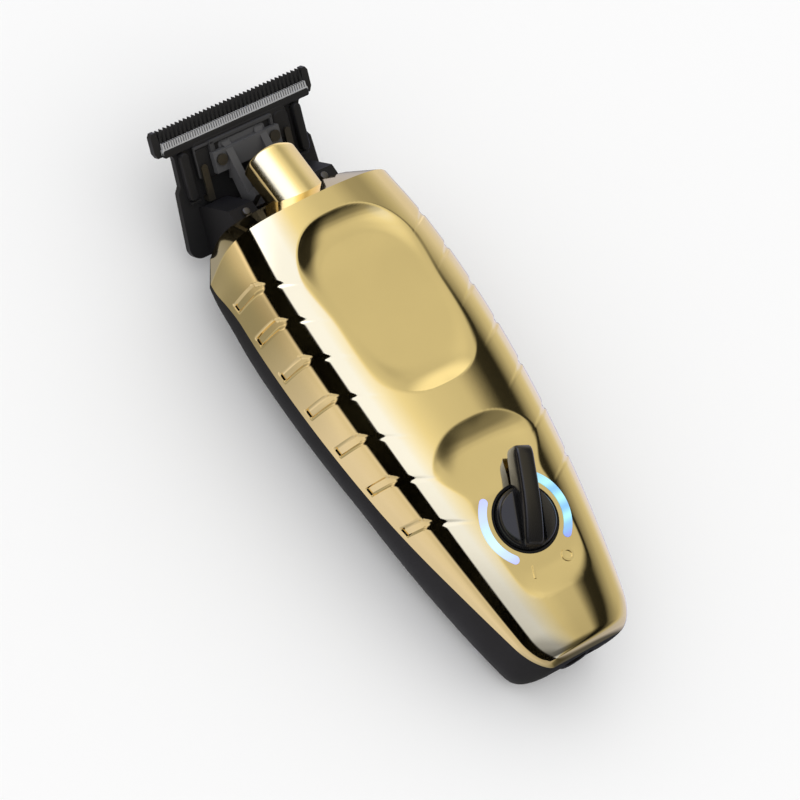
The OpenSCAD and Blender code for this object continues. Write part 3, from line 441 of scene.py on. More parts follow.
# Place of the widest section from the tail; height, bow radius and highest place of the front
WIDEST_AT = 84
FRONT_H = 34
FRONT_R = 390
APEX_AT = 96
# How much higher the middle of the front is than its shoulders
CROWN = 3
WALL = 1.8
# Rounding of the tail corners seen from the front, and of the tail edge seen from the side
CORNER_RUN, CORNER_CUT = 7, 3.4
EDGE_R = 2
# The slope from the head to the mouth: its length, its fall, and how far its sides and belly draw in
BEVEL_RUN, BEVEL_DROP, BEVEL_IN, BEVEL_RISE = 5.4, 7.6, 3.6, 2.5
# Squareness of the front's shoulders and of the belly, and the share of the belly's depth cut flat
SHOULDER_N = 5.5
BELLY_N_TAIL, BELLY_N_HEAD, BELLY_FLAT = 4.6, 2.9, 0.03
BELLY_N_FROM, BELLY_N_RUN = 8, 45
# The seam: its height, its rise to the tail and its fall at the head
SEAM_Z = 15
SEAM_RISE, SEAM_RISE_FROM, SEAM_RISE_RUN = 2, 45, 40
SEAM_FALL, SEAM_FALL_RUN = 3.5, 16
# Lean of the slots to the tail, and the runs at tail and head over which it fades
SLOT_LEAN, LEAN_TAIL_RUN, LEAN_HEAD_RUN = 0.135, 25, 10
# Rounding of the belly up to the tail, and the run and rise of the belly to the head
STERN_RUN = 5
BOW_RUN, BOW_RISE = 27, 6
LEAST_DEPTH = 0.3
Y_TAIL = cad_low.y / MM
Y_FRONT = cad_high.y / MM
Y_HEAD = Y_TAIL + BODY_LEN
Y_WIDE = Y_TAIL + WIDEST_AT
Y_APEX = Y_TAIL + APEX_AT
Y_MOUTH = Y_HEAD + BEVEL_RUN


def smooth(t):
    """Goes from 0 to 1 while t does, level at both ends."""
    u = np.clip(t, 0, 1)
    return u * u * (3 - 2 * u)


def round_off(distance, run, depth):
    """How far a quarter ellipse has fallen, distance after its start: depth at the end of run."""
    u = np.clip(distance / run, 0, 1)
    return depth * (1 - np.sqrt(np.maximum(1 - u * u, 0)))


def side_curve(y):
    """Half width of the body before its corners are rounded."""
    to_head = BODY_W / 2 - (BODY_W - HEAD_W) / 2 * ((y - Y_WIDE) / (Y_HEAD - Y_WIDE)) ** 2
    to_tail = BODY_W / 2 - (BODY_W - TAIL_W) / 2 * ((Y_WIDE - y) / WIDEST_AT) ** 2
    return np.where(y > Y_WIDE, to_head, to_tail)


def past_head(y):
    """Share of the way from the head to the mouth."""
    return np.maximum(y - Y_HEAD, 0) / BEVEL_RUN


def half_w(y):
    corner = round_off(Y_TAIL + CORNER_RUN - y, CORNER_RUN, CORNER_CUT)
    return side_curve(np.minimum(y, Y_HEAD)) - corner - BEVEL_IN * past_head(y)


def crest_z(y):
    """Height of the front along the middle, without the recesses."""
    edge = round_off(Y_TAIL + EDGE_R - y, EDGE_R, EDGE_R)
    return FRONT_H - (Y_APEX - y) ** 2 / (2 * FRONT_R) - edge - BEVEL_DROP * past_head(y)


def seam(y):
    rise = SEAM_RISE * smooth((Y_TAIL + SEAM_RISE_FROM - y) / SEAM_RISE_RUN)
    return SEAM_Z + rise - SEAM_FALL * smooth((y - Y_HEAD + SEAM_FALL_RUN) / SEAM_FALL_RUN)


def crest_slope(y):
    return (Y_APEX - y) / FRONT_R


def lean_back(y, z):
    """How far the sides below the crown lean, so that sections stand square to the front and slots slope."""
    slope = SLOT_LEAN * smooth((y - Y_TAIL) / LEAN_TAIL_RUN) * smooth((Y_HEAD - y) / LEAN_HEAD_RUN)
    return (crest_slope(y) + slope) * np.maximum(crest_z(y) - CROWN - np.maximum(z, seam(y)), 0)


def belly_z(y):
    bow = BOW_RISE * (np.maximum(np.minimum(y, Y_HEAD) - Y_HEAD + BOW_RUN, 0) / BOW_RUN) ** 2
    return round_off(Y_TAIL + STERN_RUN - y, STERN_RUN, seam(y) - 1) + bow + BEVEL_RISE * past_head(y)


def belly_n(y):
    return BELLY_N_TAIL - (BELLY_N_TAIL - BELLY_N_HEAD) * smooth((y - Y_TAIL - BELLY_N_FROM) / BELLY_N_RUN)


# The face that the dial turns on
DIAL_AT, DIAL_SINK, DIAL_EXTRA_TILT = 28.9, 0.9, 1
DIAL_Y = Y_TAIL + DIAL_AT
DIAL_Z = float(crest_z(DIAL_Y)) - DIAL_SINK
DIAL_TILT = math.atan(float(crest_slope(DIAL_Y))) + math.radians(DIAL_EXTRA_TILT)
DIAL_FRAME = Matrix.Translation((0, DIAL_Y, DIAL_Z)) @ Matrix.Rotation(DIAL_TILT, 4, "X")
# The thumb recess; its floor is scooped deeper to the blade
THUMB_Y, THUMB_W, THUMB_LEN, THUMB_DEPTH = Y_TAIL + 84.4, 32, 45.6, 1.2
SCOOP_START, SCOOP_RUN, SCOOP_DROP = -2, 24, 0.9
# The dial recess; its floor falls and its edge softens under the arch to the blade
DIAL_RECESS_Y, DIAL_RECESS_W, DIAL_RECESS_LEN = DIAL_Y + 3.8, 31.5, 40.4
ARCH_START, ARCH_RUN, ARCH_DROP = 7, 14, 1.7
SOFTEN_START, SOFTEN_RUN = 4, 10
# Width of the slope inside each rim, as a share of the recess's half width, and how the slope levels out
THUMB_EDGE, ARCH_EDGE, SIDE_EDGE = 0.3, 0.4, 0.3
RECESS_N = 2.6
FALL_TAIL, FALL_MORE = 1.7, 0.8
RIM_ROUND = 0.035


def sunk(x, y, cy, w, length, edge):
    """Share of the full depth of a recess, which falls quickly inside the rim and then levels out."""
    oval = (np.abs(2 * x / w) ** RECESS_N + np.abs(2 * (y - cy) / length) ** RECESS_N) ** (1 / RECESS_N)
    fall = FALL_TAIL + FALL_MORE * smooth((y - cy) / length + 0.6)
    return 1 - (1 - np.clip((1 - oval) / edge, 0, 1)) ** fall


def over(height):
    """Height over a floor, with the crease at the floor rounded."""
    return RIM_ROUND * np.logaddexp(0, height / RIM_ROUND)


def recessed(x, y, z):
    """Height of the front surface with both recesses taken out."""
    scoop = SCOOP_DROP * smooth((y - THUMB_Y - SCOOP_START) / SCOOP_RUN)
    thumb_floor = crest_z(y) - THUMB_DEPTH - scoop
    z = z - sunk(x, y, THUMB_Y, THUMB_W, THUMB_LEN, THUMB_EDGE) * over(z - thumb_floor)
    arch = ARCH_DROP * smooth((y - DIAL_Y - ARCH_START) / ARCH_RUN)
    plane = DIAL_Z + (y - DIAL_Y) * math.tan(DIAL_TILT) - arch
    edge = SIDE_EDGE + (ARCH_EDGE - SIDE_EDGE) * smooth((y - DIAL_Y - SOFTEN_START) / SOFTEN_RUN)
    return z - sunk(x, y, DIAL_RECESS_Y, DIAL_RECESS_W, DIAL_RECESS_LEN, edge) * over(z - plane)


# Rough half width and height of a shell's section, by which its points are spread evenly
SECTION_HALF, SECTION_H = 24, 16
CURVE_STEPS = 20001


def even_shares(n, count):
    """Points (share of width, share of height) evenly along a superellipse, left to right."""
    a = np.radians(np.linspace(0, 180, CURVE_STEPS))
    x = -np.sign(np.cos(a)) * np.abs(np.cos(a)) ** (2 / n)
    z = np.sin(a) ** (2 / n)
    x, z = x * SECTION_HALF, z * SECTION_H
    run = np.concatenate([[0], np.cumsum(np.hypot(np.diff(x), np.diff(z)))])
    at = np.linspace(0, run[-1], count)
    return np.interp(at, run, x) / SECTION_HALF, np.interp(at, run, z) / SECTION_H


# Grip slots: place of the first from the tail, pitch and how much it shrinks, width and depth
SLOT_COUNT, SLOT_FIRST, SLOT_PITCH, SLOT_GATHER, SLOT_W, SLOT_DEPTH = 7, 38.1, 11.3, 0.19, 2.2, 0.5
SLOT_YS = [Y_TAIL + SLOT_FIRST + i * SLOT_PITCH - SLOT_GATHER * i * (i - 1) for i in range(SLOT_COUNT)]
# The leaf that each slot ends in on the front face: reach, slope, share of its width at the tip, taper
LEAF_LEN, LEAF_LEAN, LEAF_TIP, LEAF_TAPER = 9.0, 0.62, 0.1, 1.6
LEAF_FROM = 0.965
LEAF_DEPTH, LEAF_FADE = 0.3, 0.8
# Softness of a slot's edge on its blade side and on its tail side
BLADE_SIDE_SOFT, TAIL_SIDE_SOFT, TAIL_SIDE_SHIFT = 0.3, 0.55, 0.3
# Shares of the side's height where a slot starts and where its cut turns from inwards to downwards
SLOT_FOOT, SLOT_FOOT_RUN = 0.13, 0.03
SLOT_TURN, SLOT_TURN_RUN = 0.72, 0.24
SLOT_INNERMOST = 0.8


def slot_depth(y, px, pz, w):
    """Depth of the slots, inwards on the side and downwards on the face, at shares px, pz of the section."""
    inward = np.maximum(w * LEAF_FROM - np.abs(px * w), 0)
    left = np.clip(1 - inward / LEAF_LEN, 0, 1)
    half = SLOT_W / 2 * (LEAF_TIP + (1 - LEAF_TIP) * left ** LEAF_TAPER)
    depth = 0
    for middle in SLOT_YS:
        at = middle - LEAF_LEAN * inward
        blade_side = smooth((at + half - y) / BLADE_SIDE_SOFT + 0.5)
        depth = depth + blade_side * smooth((y - at + half) / TAIL_SIDE_SOFT + TAIL_SIDE_SHIFT)
    depth = depth * SLOT_DEPTH * smooth((pz - SLOT_FOOT) / SLOT_FOOT_RUN)
    share = smooth((pz - SLOT_TURN) / SLOT_TURN_RUN)
    return depth * (1 - share) * (np.abs(px) > SLOT_INNERMOST), depth * share * (LEAF_DEPTH * left ** LEAF_FADE)


def front_grid(ys, shares, inset, slotted):
    """Points of the front, one row for each station and one column for each share."""
    y = np.asarray(ys, float)[:, None]
    px, pz = (s[None, :] for s in shares)
    w = half_w(y) - inset
    base = seam(y) + pz * (crest_z(y) - CROWN - inset - seam(y)) + CROWN * (1 - px * px) * pz
    cut_in, cut_down = slot_depth(y, px, pz, w) if slotted else (0, 0)
    side = np.sign(px) * np.maximum(np.abs(px * w) - cut_in, 0)
    z = recessed(side, y, base + inset) - inset - cut_down
    return np.stack([side + 0 * y, y + lean_back(y, z), z + 0 * px], axis=2)


def grid_shell(outer, inner, flip=False):
    """Vertices and faces of a shell between two grids with the same stations, closed at the tail and rims."""
    n, k = outer.shape[:2]
    tail_o = (outer[0][0] + outer[0][-1]) / 2
    tail_i = (inner[0][0] + inner[0][-1]) / 2
    vertices = np.concatenate([outer.reshape(-1, 3), inner.reshape(-1, 3), [tail_o, tail_i]])
    c_o, c_i = 2 * n * k, 2 * n * k + 1
    faces = []
    for i in range(n - 1):
        a, b = i * k, (n + i) * k
        faces += [(a + j, a + j + 1, a + k + j + 1, a + k + j) for j in range(k - 1)]
        faces += [(b + j, b + k + j, b + k + j + 1, b + j + 1) for j in range(k - 1)]
        faces += [(a, a + k, b + k, b), (a + k - 1, b + k - 1, b + 2 * k - 1, a + 2 * k - 1)]
    e, f = (n - 1) * k, (2 * n - 1) * k
    faces += [(e + j, e + j + 1, f + j + 1, f + j) for j in range(k - 1)]
    faces += [(j, c_o, j + 1) for j in range(k - 1)]
    faces += [(n * k + j, n * k + j + 1, c_i) for j in range(k - 1)]
    faces += [(0, n * k, c_i, c_o), (c_o, c_i, (n + 1) * k - 1, k - 1)]
    return vertices, faces


FINE_STEP, WIDE_STEP = 0.3, 0.6
BEFORE_SLOTS, BEFORE_HEAD = 7, 0.8


def front_stations():
    """Stations along the body: close at the tail corner, over the slots and at the head."""
    slots_from, slots_to = SLOT_YS[0] - BEFORE_SLOTS, Y_HEAD - BEFORE_HEAD
    corner = Y_TAIL + CORNER_RUN * (1 - np.cos(np.radians(np.linspace(0, 90, 26))))
    ys = list(corner) + list(np.arange(corner[-1] + WIDE_STEP, slots_from, WIDE_STEP))
    ys += list(np.arange(slots_from, slots_to - 0.2, FINE_STEP))
    return ys + list(np.linspace(slots_to, Y_HEAD, 6)) + list(np.linspace(Y_HEAD, Y_MOUTH, 14)[1:])


def inner_station(y, y_end):
    """Stations of the inner face: a wall in from the tail and even with y_end at the mouth."""
    return Y_TAIL + WALL + (y - Y_TAIL) * (y_end - Y_TAIL - WALL) / (y_end - Y_TAIL)


FRONT_POINTS, BACK_POINTS = 231, 121
SHELL_ANGLE = 38
# Holes in the front: below and above the dial's face, the bezel's radius and the gap round the guides
HOLE_LOW, HOLE_HIGH = -9, 5
BEZEL_R = 7.8
GUIDE_GAP = 0.04
LIGHT_R, LIGHT_W, LIGHT_SWEEP = 9.8, 1.9, 88


def front_shell(m):
    """The gold front, with holes for the dial's bezel and the two lit guides."""
    shares = even_shares(SHOULDER_N, FRONT_POINTS)
    ys = np.array(front_stations())
    outer = front_grid(ys, shares, 0, True)
    inner = front_grid(inner_station(ys, Y_MOUTH), shares, WALL, False)
    vertices, faces = grid_shell(outer, inner)
    shell = add_piece("front_shell", vertices, faces, m["gold"], "housing", ["front_housing"])
    cutters = [dial_hole("bezel_hole", arc(0, 0, BEZEL_R, 0, 354, 59))]
    cutters += [dial_hole("guide_hole", guide_outline(side, GUIDE_GAP)) for side in (0, 180)]
    cut(shell, cutters)
    shade(shell, SHELL_ANGLE)


def guide_outline(side, gap):
    """Outline of the light guide that is turned by side degrees round the dial, gap wider all round."""
    r = LIGHT_W / 2 + gap
    turn = LIGHT_SWEEP / 2
    ex, ey = LIGHT_R * math.cos(math.radians(turn)), LIGHT_R * math.sin(math.radians(turn))
    points = arc(0, 0, LIGHT_R + r, -turn, turn, 24) + arc(ex, ey, r, turn + 15, turn + 165, 8)
    points += arc(0, 0, LIGHT_R - r, turn, -turn, 24) + arc(ex, -ey, r, -turn - 165, -turn - 15, 8)
    c, s = math.cos(math.radians(side)), math.sin(math.radians(side))
    return [(x * c - y * s, x * s + y * c) for x, y in points]


def dial_hole(name, points):
    vertices, faces = prism(points, HOLE_LOW, HOLE_HIGH)
    return raw_mesh(name, placed(DIAL_FRAME, vertices), faces)


def cover_grid(ys, count, inset):
    """Points of the back cover, one row for each station."""
    y = np.asarray(ys, float)[:, None]
    n = belly_n(y)
    rows_x, rows_z = [], []
    for value in n[:, 0]:
        px, pz = even_shares(value, count)
        rows_x.append(px)
        rows_z.append(pz)
    px, pz = np.array(rows_x), np.array(rows_z)
    depth = np.maximum(seam(y) - belly_z(y) - inset, LEAST_DEPTH)
    z = seam(y) - depth * np.minimum(pz / (1 - BELLY_FLAT), 1)
    return np.stack([px * (half_w(y) - inset), y + lean_back(y, z), z], axis=2)


SCREW_PLACES = [(-13, Y_HEAD - 10), (13, Y_HEAD - 10), (-10.6, Y_TAIL + 15.5), (10.6, Y_TAIL + 15.5)]
SCREW_HOLE_R, SCREW_HOLE_DEPTH = 2.2, 1.1
INLET_R, INLET_HALF = 4.05, 6
BELOW_BACK = 5


def back_shell(m):
    """The black back, with the charging inlet in its tail and the four screw holes."""
    ys = np.concatenate([Y_TAIL + STERN_RUN * (1 - np.cos(np.radians(np.linspace(0, 90, 22)))),
                         np.arange(Y_TAIL + STERN_RUN + 1, Y_HEAD, 1.0), np.linspace(Y_HEAD, Y_MOUTH, 6)])
    outer = cover_grid(ys, BACK_POINTS, 0)
    inner = cover_grid(inner_station(ys, Y_MOUTH), BACK_POINTS, WALL)
    vertices, faces = grid_shell(outer, inner, True)
    black = m["black_satin"]
    shell = add_piece("back_shell", vertices, faces, black, "housing", ["back_cover"])
    low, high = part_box("charging_socket")
    inlet = raw_mesh("inlet_hole", *prism(arc(0, 0, INLET_R, 0, 350, 35), -INLET_HALF, INLET_HALF))
    to_tail = Matrix.Translation((0, Y_TAIL * MM, (low.z + high.z) / 2))
    inlet.matrix_world = to_tail @ Matrix.Rotation(math.pi / 2, 4, "X")
    cutters = [inlet]
    for x, y in SCREW_PLACES:
        vertices, faces = prism(arc(x, y, SCREW_HOLE_R, 0, 350, 35), -BELOW_BACK, screw_head_top(x, y))
        cutters.append(raw_mesh("screw_hole", vertices, faces))
    cut(shell, cutters)
    shade(shell, SHELL_ANGLE)


def screw_head_top(x, y):
    """Height to which a screw's hole is cut: its depth past the back's surface."""
    n = float(belly_n(y))
    share = (1 - min(abs(x) / float(half_w(y)), 1) ** n) ** (1 / n)
    surface_z = float(seam(y)) - float(seam(y) - belly_z(y)) * min(share / (1 - BELLY_FLAT), 1)
    return surface_z + SCREW_HOLE_DEPTH


# ---------------------------------------------------------------- nose over the drive
# In the nose's own frame: half width, radius of its top, reach before and behind the mouth, depth, wall
NOSE_HALF, NOSE_R, NOSE_REACH, NOSE_ROOT, NOSE_DEPTH, NOSE_WALL = 6, 9.5, 11, 3.4, 6.2, 1.4
NOSE_TOP = float(crest_z(Y_MOUTH)) + 3.7
NOSE_TILT = -4
NOSE_FRAME = Matrix.Translation((0, Y_MOUTH, NOSE_TOP)) @ Matrix.Rotation(math.radians(NOSE_TILT), 4, "X")
# The front edge: radius of its bow in plan, and the share of the length over which its lip draws in
NOSE_BOW = 24
LIP_FROM, LIP_RUN, LIP_PULL, LIP_DEPTH = 0.94, 0.06, 0.4, 4.5
NOSE_POINTS, TOP_POINTS, CORNER_ROUNDS = 91, 41, 6


def sheet_shell(outer, inner):
    """Vertices and faces between two grids of points, closed all round."""
    n, k = outer.shape[:2]
    vertices = np.concatenate([outer.reshape(-1, 3), inner.reshape(-1, 3)])
    m = n * k
    faces = []
    for i in range(n - 1):
        for j in range(k - 1):
            a = i * k + j
            faces += [(a, a + 1, a + k + 1, a + k), (m + a, m + a + k, m + a + k + 1, m + a + 1)]
    for j in range(k - 1):
        for a in (j, (n - 1) * k + j):
            faces.append((a, a + 1, m + a + 1, m + a))
    for i in range(n - 1):
        for a in (i * k, i * k + k - 1):
            faces.append((a, a + k, m + a + k, m + a))
    return vertices, faces


def evened(points, count, rounds):
    """A line of points spaced evenly, with its corners rounded."""
    points = np.array(points, float)
    run = np.concatenate([[0], np.cumsum(np.hypot(*np.diff(points, axis=0).T))])
    at = np.linspace(0, run[-1], count)
    line = np.stack([np.interp(at, run, points[:, 0]), np.interp(at, run, points[:, 1])], axis=1)
    for _ in range(rounds):
        line[1:-1] = (line[:-2] + line[1:-1] * 2 + line[2:]) / 4
    return line


def nose_grid(inset):
    """Points of the nose in its own frame, from its root to its lip."""
    wide = NOSE_HALF - inset
    across = np.linspace(-wide, wide, TOP_POINTS)
    top = [(NOSE_R - inset) * math.sqrt(1 - (x / NOSE_R) ** 2) - NOSE_R for x in across]
    section = [(-wide, -NOSE_DEPTH)] + list(zip(across, top)) + [(wide, -NOSE_DEPTH)]
    arch = evened(section, NOSE_POINTS, CORNER_ROUNDS)
    lip = 1 - LIP_RUN * (1 - np.sin(np.radians(np.linspace(10, 90, 8))))
    rows = []
    for share in list(np.linspace(0, LIP_FROM, 16)) + list(lip):
        turned = max(share - LIP_FROM, 0) / LIP_RUN
        pull = LIP_PULL * (1 - math.sqrt(max(1 - turned ** 2, 0)))
        x = arch[:, 0] * (1 - pull / NOSE_HALF)
        z = arch[:, 1] - pull * (arch[:, 1] > -LIP_DEPTH)
        plan = NOSE_REACH - inset * 0.2 - (NOSE_BOW - np.sqrt(NOSE_BOW ** 2 - x * x))
        rows.append(np.stack([x, -NOSE_ROOT + share * (plan + NOSE_ROOT), z], axis=1))
    return np.array(rows)


def nose(m):
    vertices, faces = sheet_shell(nose_grid(0), nose_grid(NOSE_WALL))
    vertices = placed(NOSE_FRAME, vertices)
    add_piece("nose_shell", vertices, faces, m["gold_soft"], "housing", ["nose_cover"], 50)


# ---------------------------------------------------------------- built-up pieces
def built(name, frame_matrix, solids, material, body, nodes=(), bevel=0.25, angle=35):
    """One piece from several closed solids in a frame of their own, with their edges rounded."""
    vertices, faces = [], []
    for points, loops in solids:
        start = len(vertices)
        vertices += placed(frame_matrix, points)
        faces += [tuple(start + i for i in loop) for loop in loops]
    piece = add_piece(name, vertices, faces, material, body, nodes, angle)
    if bevel:
        soft = piece.modifiers.new("edges", "BEVEL")
        soft.width = bevel * MM
        soft.segments = 3
        soft.limit_method = "ANGLE"
        soft.angle_limit = math.radians(30)
        apply_modifiers(piece)
        shade(piece, angle)
    return piece


def loft(rings):
    """Vertices and faces through rings of points, closed at both ends."""
    k = len(rings[0])
    vertices = [p for ring in rings for p in ring]
    faces = [tuple(range(k)), tuple(range(len(vertices) - k, len(vertices)))]
    for i in range(len(rings) - 1):
        a = i * k
        faces += [(a + j, a + (j + 1) % k, a + k + (j + 1) % k, a + k + j) for j in range(k)]
    return vertices, faces


def rounded_box(x0, x1, y0, y1, r, low, high):
    """A block from x0 to x1, y0 to y1 and low to high, with upright edges of radius r."""
    points = arc(x1 - r, y1 - r, r, 0, 90, 5) + arc(x0 + r, y1 - r, r, 90, 180, 5)
    points += arc(x0 + r, y0 + r, r, 180, 270, 5) + arc(x1 - r, y0 + r, r, 270, 360, 5)
    return prism(points, low, high)


# ---------------------------------------------------------------- power dial
def lever_ring(x, width, low, high):
    """Section of the lever across its length: flat sides with a little draft and a rounded top."""
    ring = []
    for t in np.linspace(0, 180, 17):
        a = math.radians(t)
        c, q = math.cos(a), math.sin(a)
        side = math.copysign(abs(c) ** 0.3, c) * width / 2
        z = low + (high - low) * q ** 0.3
        ring.append((x, side * (1 - 0.06 * (z - low) / max(high - low, 0.1)), z))
    return ring


# The lever points half of the dial's 45 degrees past straight ahead
DIAL_SWEEP = 45
# The round base, outside in: radius, height over the dial's face
BASE_PROFILE = [
    (6.55, -0.8), (6.9, -0.6), (6.9, 0.75), (6.78, 1.05), (6.45, 1.3), (6.1, 1.35), (3, 1.4), (0.5, 1.4),
]
# The raised half-moons beside the lever: radius, distance from the middle, foot, height, fall outwards
PAD_R, PAD_FROM, PAD_LOW, PAD_HIGH, PAD_FALL = 6.3, 3.0, 1.2, 2.5, 0.3
PAD_SHRINK, PAD_DRAFT, PAD_THIN = 0.95, 0.12, 0.92
# Sections of the lever from its tail to its tip: place, width, bottom, top
LEVER_SECTIONS = [
    (-6.75, 2.9, 0.4, 1.5), (-6.6, 3.9, 0.4, 2.0), (-6.3, 4.4, 0.4, 2.5), (-5.8, 4.7, 0.4, 2.95),
    (-5.0, 4.85, 0.4, 3.3), (-3.0, 4.85, 0.4, 3.9), (-1.0, 4.8, 0.4, 4.4), (1.5, 4.75, 0.4, 4.85),
    (4, 4.7, 0.4, 5.1), (7, 4.65, 0.5, 5.2), (10, 4.6, 0.6, 5.2), (12.6, 4.6, 0.7, 5.2),
    (13.7, 4.5, 0.8, 5.05), (14.3, 4.3, 1.0, 4.8), (14.7, 3.9, 1.3, 4.4), (14.9, 3.3, 1.8, 3.8),
]


def dial(m):
    face = DIAL_FRAME @ Matrix.Rotation(math.radians(90 - DIAL_SWEEP / 2), 4, "Z")
    disc = [[(x, y, z) for x, y in arc(0, 0, r, 0, 355, 71)] for r, z in BASE_PROFILE]
    half = math.degrees(math.acos(PAD_FROM / PAD_R))
    bow = arc(0, 0, PAD_R, 90 - half, 90 + half, 24)
    pads = []
    for side in (-1, 1):
        low_ring = [(x, side * y, PAD_LOW) for x, y in bow]
        top_ring = [(x * PAD_SHRINK, side * (PAD_FROM + PAD_DRAFT + (y - PAD_FROM) * PAD_THIN),
                     PAD_HIGH - PAD_FALL * (y - PAD_FROM)) for x, y in bow]
        pads.append(loft([low_ring, top_ring]))
    lever = loft([lever_ring(*section) for section in LEVER_SECTIONS])
    built("dial_knob", face, [loft(disc), lever] + pads, m["dial_black"], "dial",
          ["power_dial"], bevel=0.12, angle=28)


# ---------------------------------------------------------------- blade
# The blade's own frame has X across, Y towards the tooth tips and Z up from its upper face
BLADE_T = 1.6
BLADE_TILT = math.radians(42)
Y_TIP = Y_FRONT - BLADE_T * math.sin(BLADE_TILT)
Z_TIP = 24.8
BLADE_FRAME = Matrix.Translation((0, Y_TIP, Z_TIP)) @ Matrix.Rotation(BLADE_TILT, 4, "X")
BLADE_HALF, CAP_W, BLADE_LEN = 21.1, 1.7, 31
SCREW_X, SCREW_FROM_BACK, SCREW_R = 10.5, 5, 1.5
COMB_TEETH, COMB_ROOT, COMB_TIP, COMB_WIDE, COMB_FINE = 36, -2.9, -0.05, 0.36, 0.08


def spikes(count, half, root, tip, wide, fine):
    """Outline of a row of pointed teeth from right to left; wide and fine are shares of the pitch."""
    pitch = 2 * half / count
    points = []
    for i in range(count):
        x = half - (i + 0.5) * pitch
        points += [(x + wide * pitch, root), (x + fine * pitch, tip)]
        points += [(x - fine * pitch, tip), (x - wide * pitch, root)]
    return points


def mirrored(points):
    return [(-x, y) for x, y in reversed(points)]


def fixed_comb(m):
    """The fixed T-blade: its back corners, waist, wings and solid end caps, then the row of teeth."""
    right = arc(15.7, -BLADE_LEN + 3, 3, -90, 0, 8) + [(17.9, -15.2), (17.0, -13.8)]
    right += arc(18.6, -7.6, 1.8, 180, 90, 6)
    right += [(20.5, -5.8), (BLADE_HALF, -4.6), (BLADE_HALF, -0.8), (20.6, 0), (19.6, 0)]
    teeth = spikes(COMB_TEETH, BLADE_HALF - CAP_W, COMB_ROOT, COMB_TIP, COMB_WIDE, COMB_FINE)
    vertices, faces = prism(right + teeth + mirrored(right), -BLADE_T, 0)
    vertices = placed(BLADE_FRAME, vertices)
    comb = add_piece("comb_blade", vertices, faces, m["blade_black"], "housing",
                     ["fixed_blade"], 30)
    holes = []
    for side in (-1, 1):
        hole = arc(side * SCREW_X, -BLADE_LEN + SCREW_FROM_BACK, SCREW_R, 0, 345, 23)
        vertices, faces = prism(hole, -BLADE_T - 1.4, 2)
        holes.append(raw_mesh("hole", placed(BLADE_FRAME, vertices), faces))
    cut(comb, holes, "EXACT")
    shade(comb, 30)


# The row of cutter teeth: half width, back, root and tip of the teeth, and shares of the pitch
CUTTER_HALF, CUTTER_BACK, CUTTER_ROOT, CUTTER_TIP = 19.5, -5.3, -4.1, -2.75
CUTTER_TEETH, CUTTER_WIDE, CUTTER_FINE = 62, 0.32, 0.2
# What stands on the cutter, as arguments of rounded_box; pads and ribs stay clear of the tension spring
CUTTER_PLATES = [
    (-19.5, 19.5, -6.1, -4.35, 0.5, 0.05, 1.15), (-12.5, 12.5, -14, -5.4, 1.2, 0.05, 1.3),
    (8.7, 12.6, -12.6, -6.4, 1.5, 1.0, 1.55), (-12.4, -9.0, -13.8, -6.9, 1.0, 1.0, 1.55),
]
CUTTER_RIBS = [
    (-8.6, 8.3, -6.9, -6.0, 0.3, 1.0, 2.1), (7.5, 8.3, -13.9, -6.2, 0.3, 1.0, 2.1),
    (-8.6, -7.4, -13.9, -6.2, 0.3, 1.0, 2.1), (-12.6, -8.2, -6.75, -6.15, 0.2, 1.0, 1.8),
    (-12.6, -12.1, -13.4, -6.3, 0.2, 1.0, 1.5),
]


def cutter(m):
    row = spikes(CUTTER_TEETH, CUTTER_HALF - 0.1, CUTTER_ROOT, CUTTER_TIP, CUTTER_WIDE, CUTTER_FINE)
    strip = [(CUTTER_HALF, CUTTER_BACK), (CUTTER_HALF, CUTTER_ROOT)] + row
    strip += [(-CUTTER_HALF, CUTTER_ROOT), (-CUTTER_HALF, CUTTER_BACK)]
    teeth = [prism(strip, 0.05, 0.95)]
    built("cutter_teeth", BLADE_FRAME, teeth, m["cutter_steel"], "cutter", bevel=0)
    plates = [rounded_box(*block) for block in CUTTER_PLATES]
    built("cutter_plate", BLADE_FRAME, plates, m["cutter_dark"], "cutter",
          ["cutter_blade"], bevel=0.3)
    ribs = [rounded_box(*block) for block in CUTTER_RIBS]
    built("cutter_frame", BLADE_FRAME, ribs, m["frame_grey"], "cutter", bevel=0.18)


# Sections of a wishbone arm from the blade back: middle, half width, place, top, thickness
ARM_SECTIONS = [
    (4.5, 1.15, -7.4, 1.7, 0.6), (4.2, 1.1, -8.6, 2.3, 1.2), (3.5, 0.95, -10.2, 2.7, 1.4),
    (3.2, 0.9, -11.8, 2.7, 1.4), (3.9, 0.95, -13.6, 2.6, 1.4), (4.5, 0.9, -16.0, 2.4, 1.4),
]
WISHBONE_BASE = (-6.2, 6.2, -13.6, -7.2, 0.8, 1.0, 1.55)


def arm_ring(x, half, y, top, thick):
    low, back = top - thick, y - 0.1
    return [(x - half, y, top), (x + half, y, top), (x + half, back, low), (x - half, back, low)]


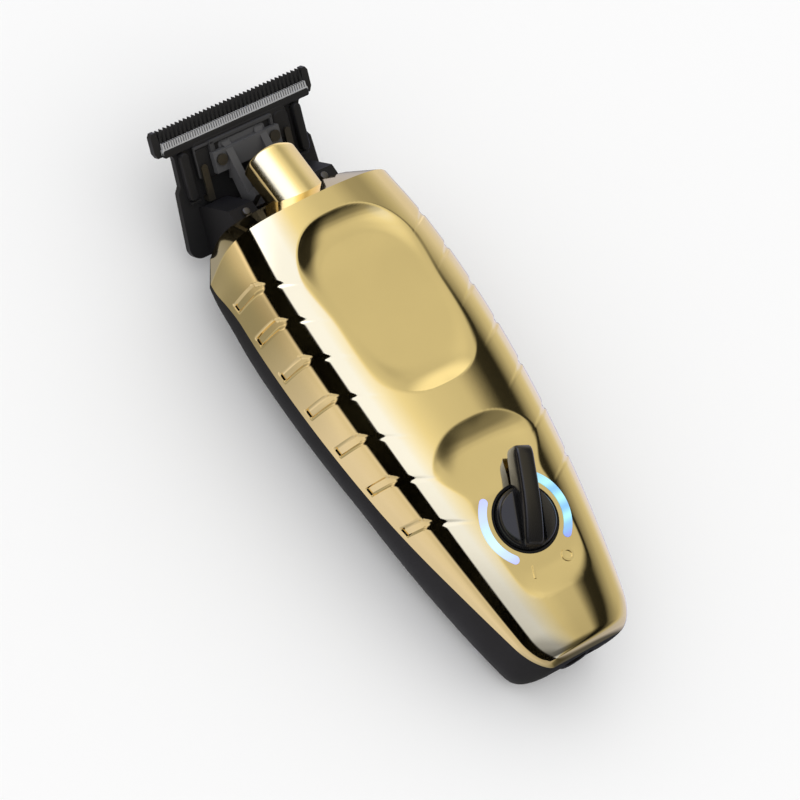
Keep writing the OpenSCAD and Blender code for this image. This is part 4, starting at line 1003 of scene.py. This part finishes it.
def carrier(m):
    """Wishbone that carries the cutter: two arms that close in towards the yoke under the nose."""
    arms = [loft([arm_ring(side * x, *rest) for x, *rest in ARM_SECTIONS]) for side in (-1, 1)]
    arms.append(rounded_box(*WISHBONE_BASE))
    built("wishbone", BLADE_FRAME, arms, m["carrier_grey"], "cutter", bevel=0.3)


# Rails beside the cutter and the short stops behind them: middle, half width, back, front, radius, height
RAIL = (15.15, 1.0, -17.4, -6.4, 0.95, 1.9)
STOP = (14.6, 1.3, -18.4, -17.7, 0.3, 1.2)
PIN_R, PIN_LOWER, PIN_ROUND = 0.9, 0.3, 0.2


def blade_trim(m):
    """The guide rails on the fixed blade, and the heads of the two mount screws."""
    rails = []
    for x, half, back, front, r, height in (RAIL, STOP):
        rails += [rounded_box(s * x - half, s * x + half, back, front, r, 0, height) for s in (-1, 1)]
    built("blade_rails", BLADE_FRAME, rails, m["cutter_dark"], "housing",
          ["cutter_guides"], bevel=0.35)
    low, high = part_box("mount_screws")
    y = (low.y + high.y) / 2 / MM
    pins = [prism(arc(s * SCREW_X, y, PIN_R, 0, 345, 23), low.z / MM, high.z / MM - PIN_LOWER) for s in (-1, 1)]
    built("mount_pins", Matrix.Identity(4), pins, m["dark_steel"], "housing",
          ["mount_screws"], bevel=PIN_ROUND)


# ---------------------------------------------------------------- everything together
def dress_nodes(m):
    """Every CAD node gets the procedural finish of its slot, or one of its own."""
    own = {"light_guide_left": "glow_left", "light_guide_right": "glow_right", "mount_screws": "dark_steel",
           "carrier_rivets": "dark_steel", "tension_spring": "dark_steel"}
    slots = {part["node"]: part["material_slot"] for part in frame["record"]["subparts"]}
    for name, node in NODES.items():
        finish_with(node, m[own.get(name, slots[name])])
        shade(node, 30)


make_camera()
make_world()
make_floor()
bpy.context.scene.view_settings.view_transform = "Standard"
materials = make_materials()
dress_nodes(materials)
front_shell(materials)
back_shell(materials)
nose(materials)
dial(materials)
fixed_comb(materials)
cutter(materials)
carrier(materials)
blade_trim(materials)
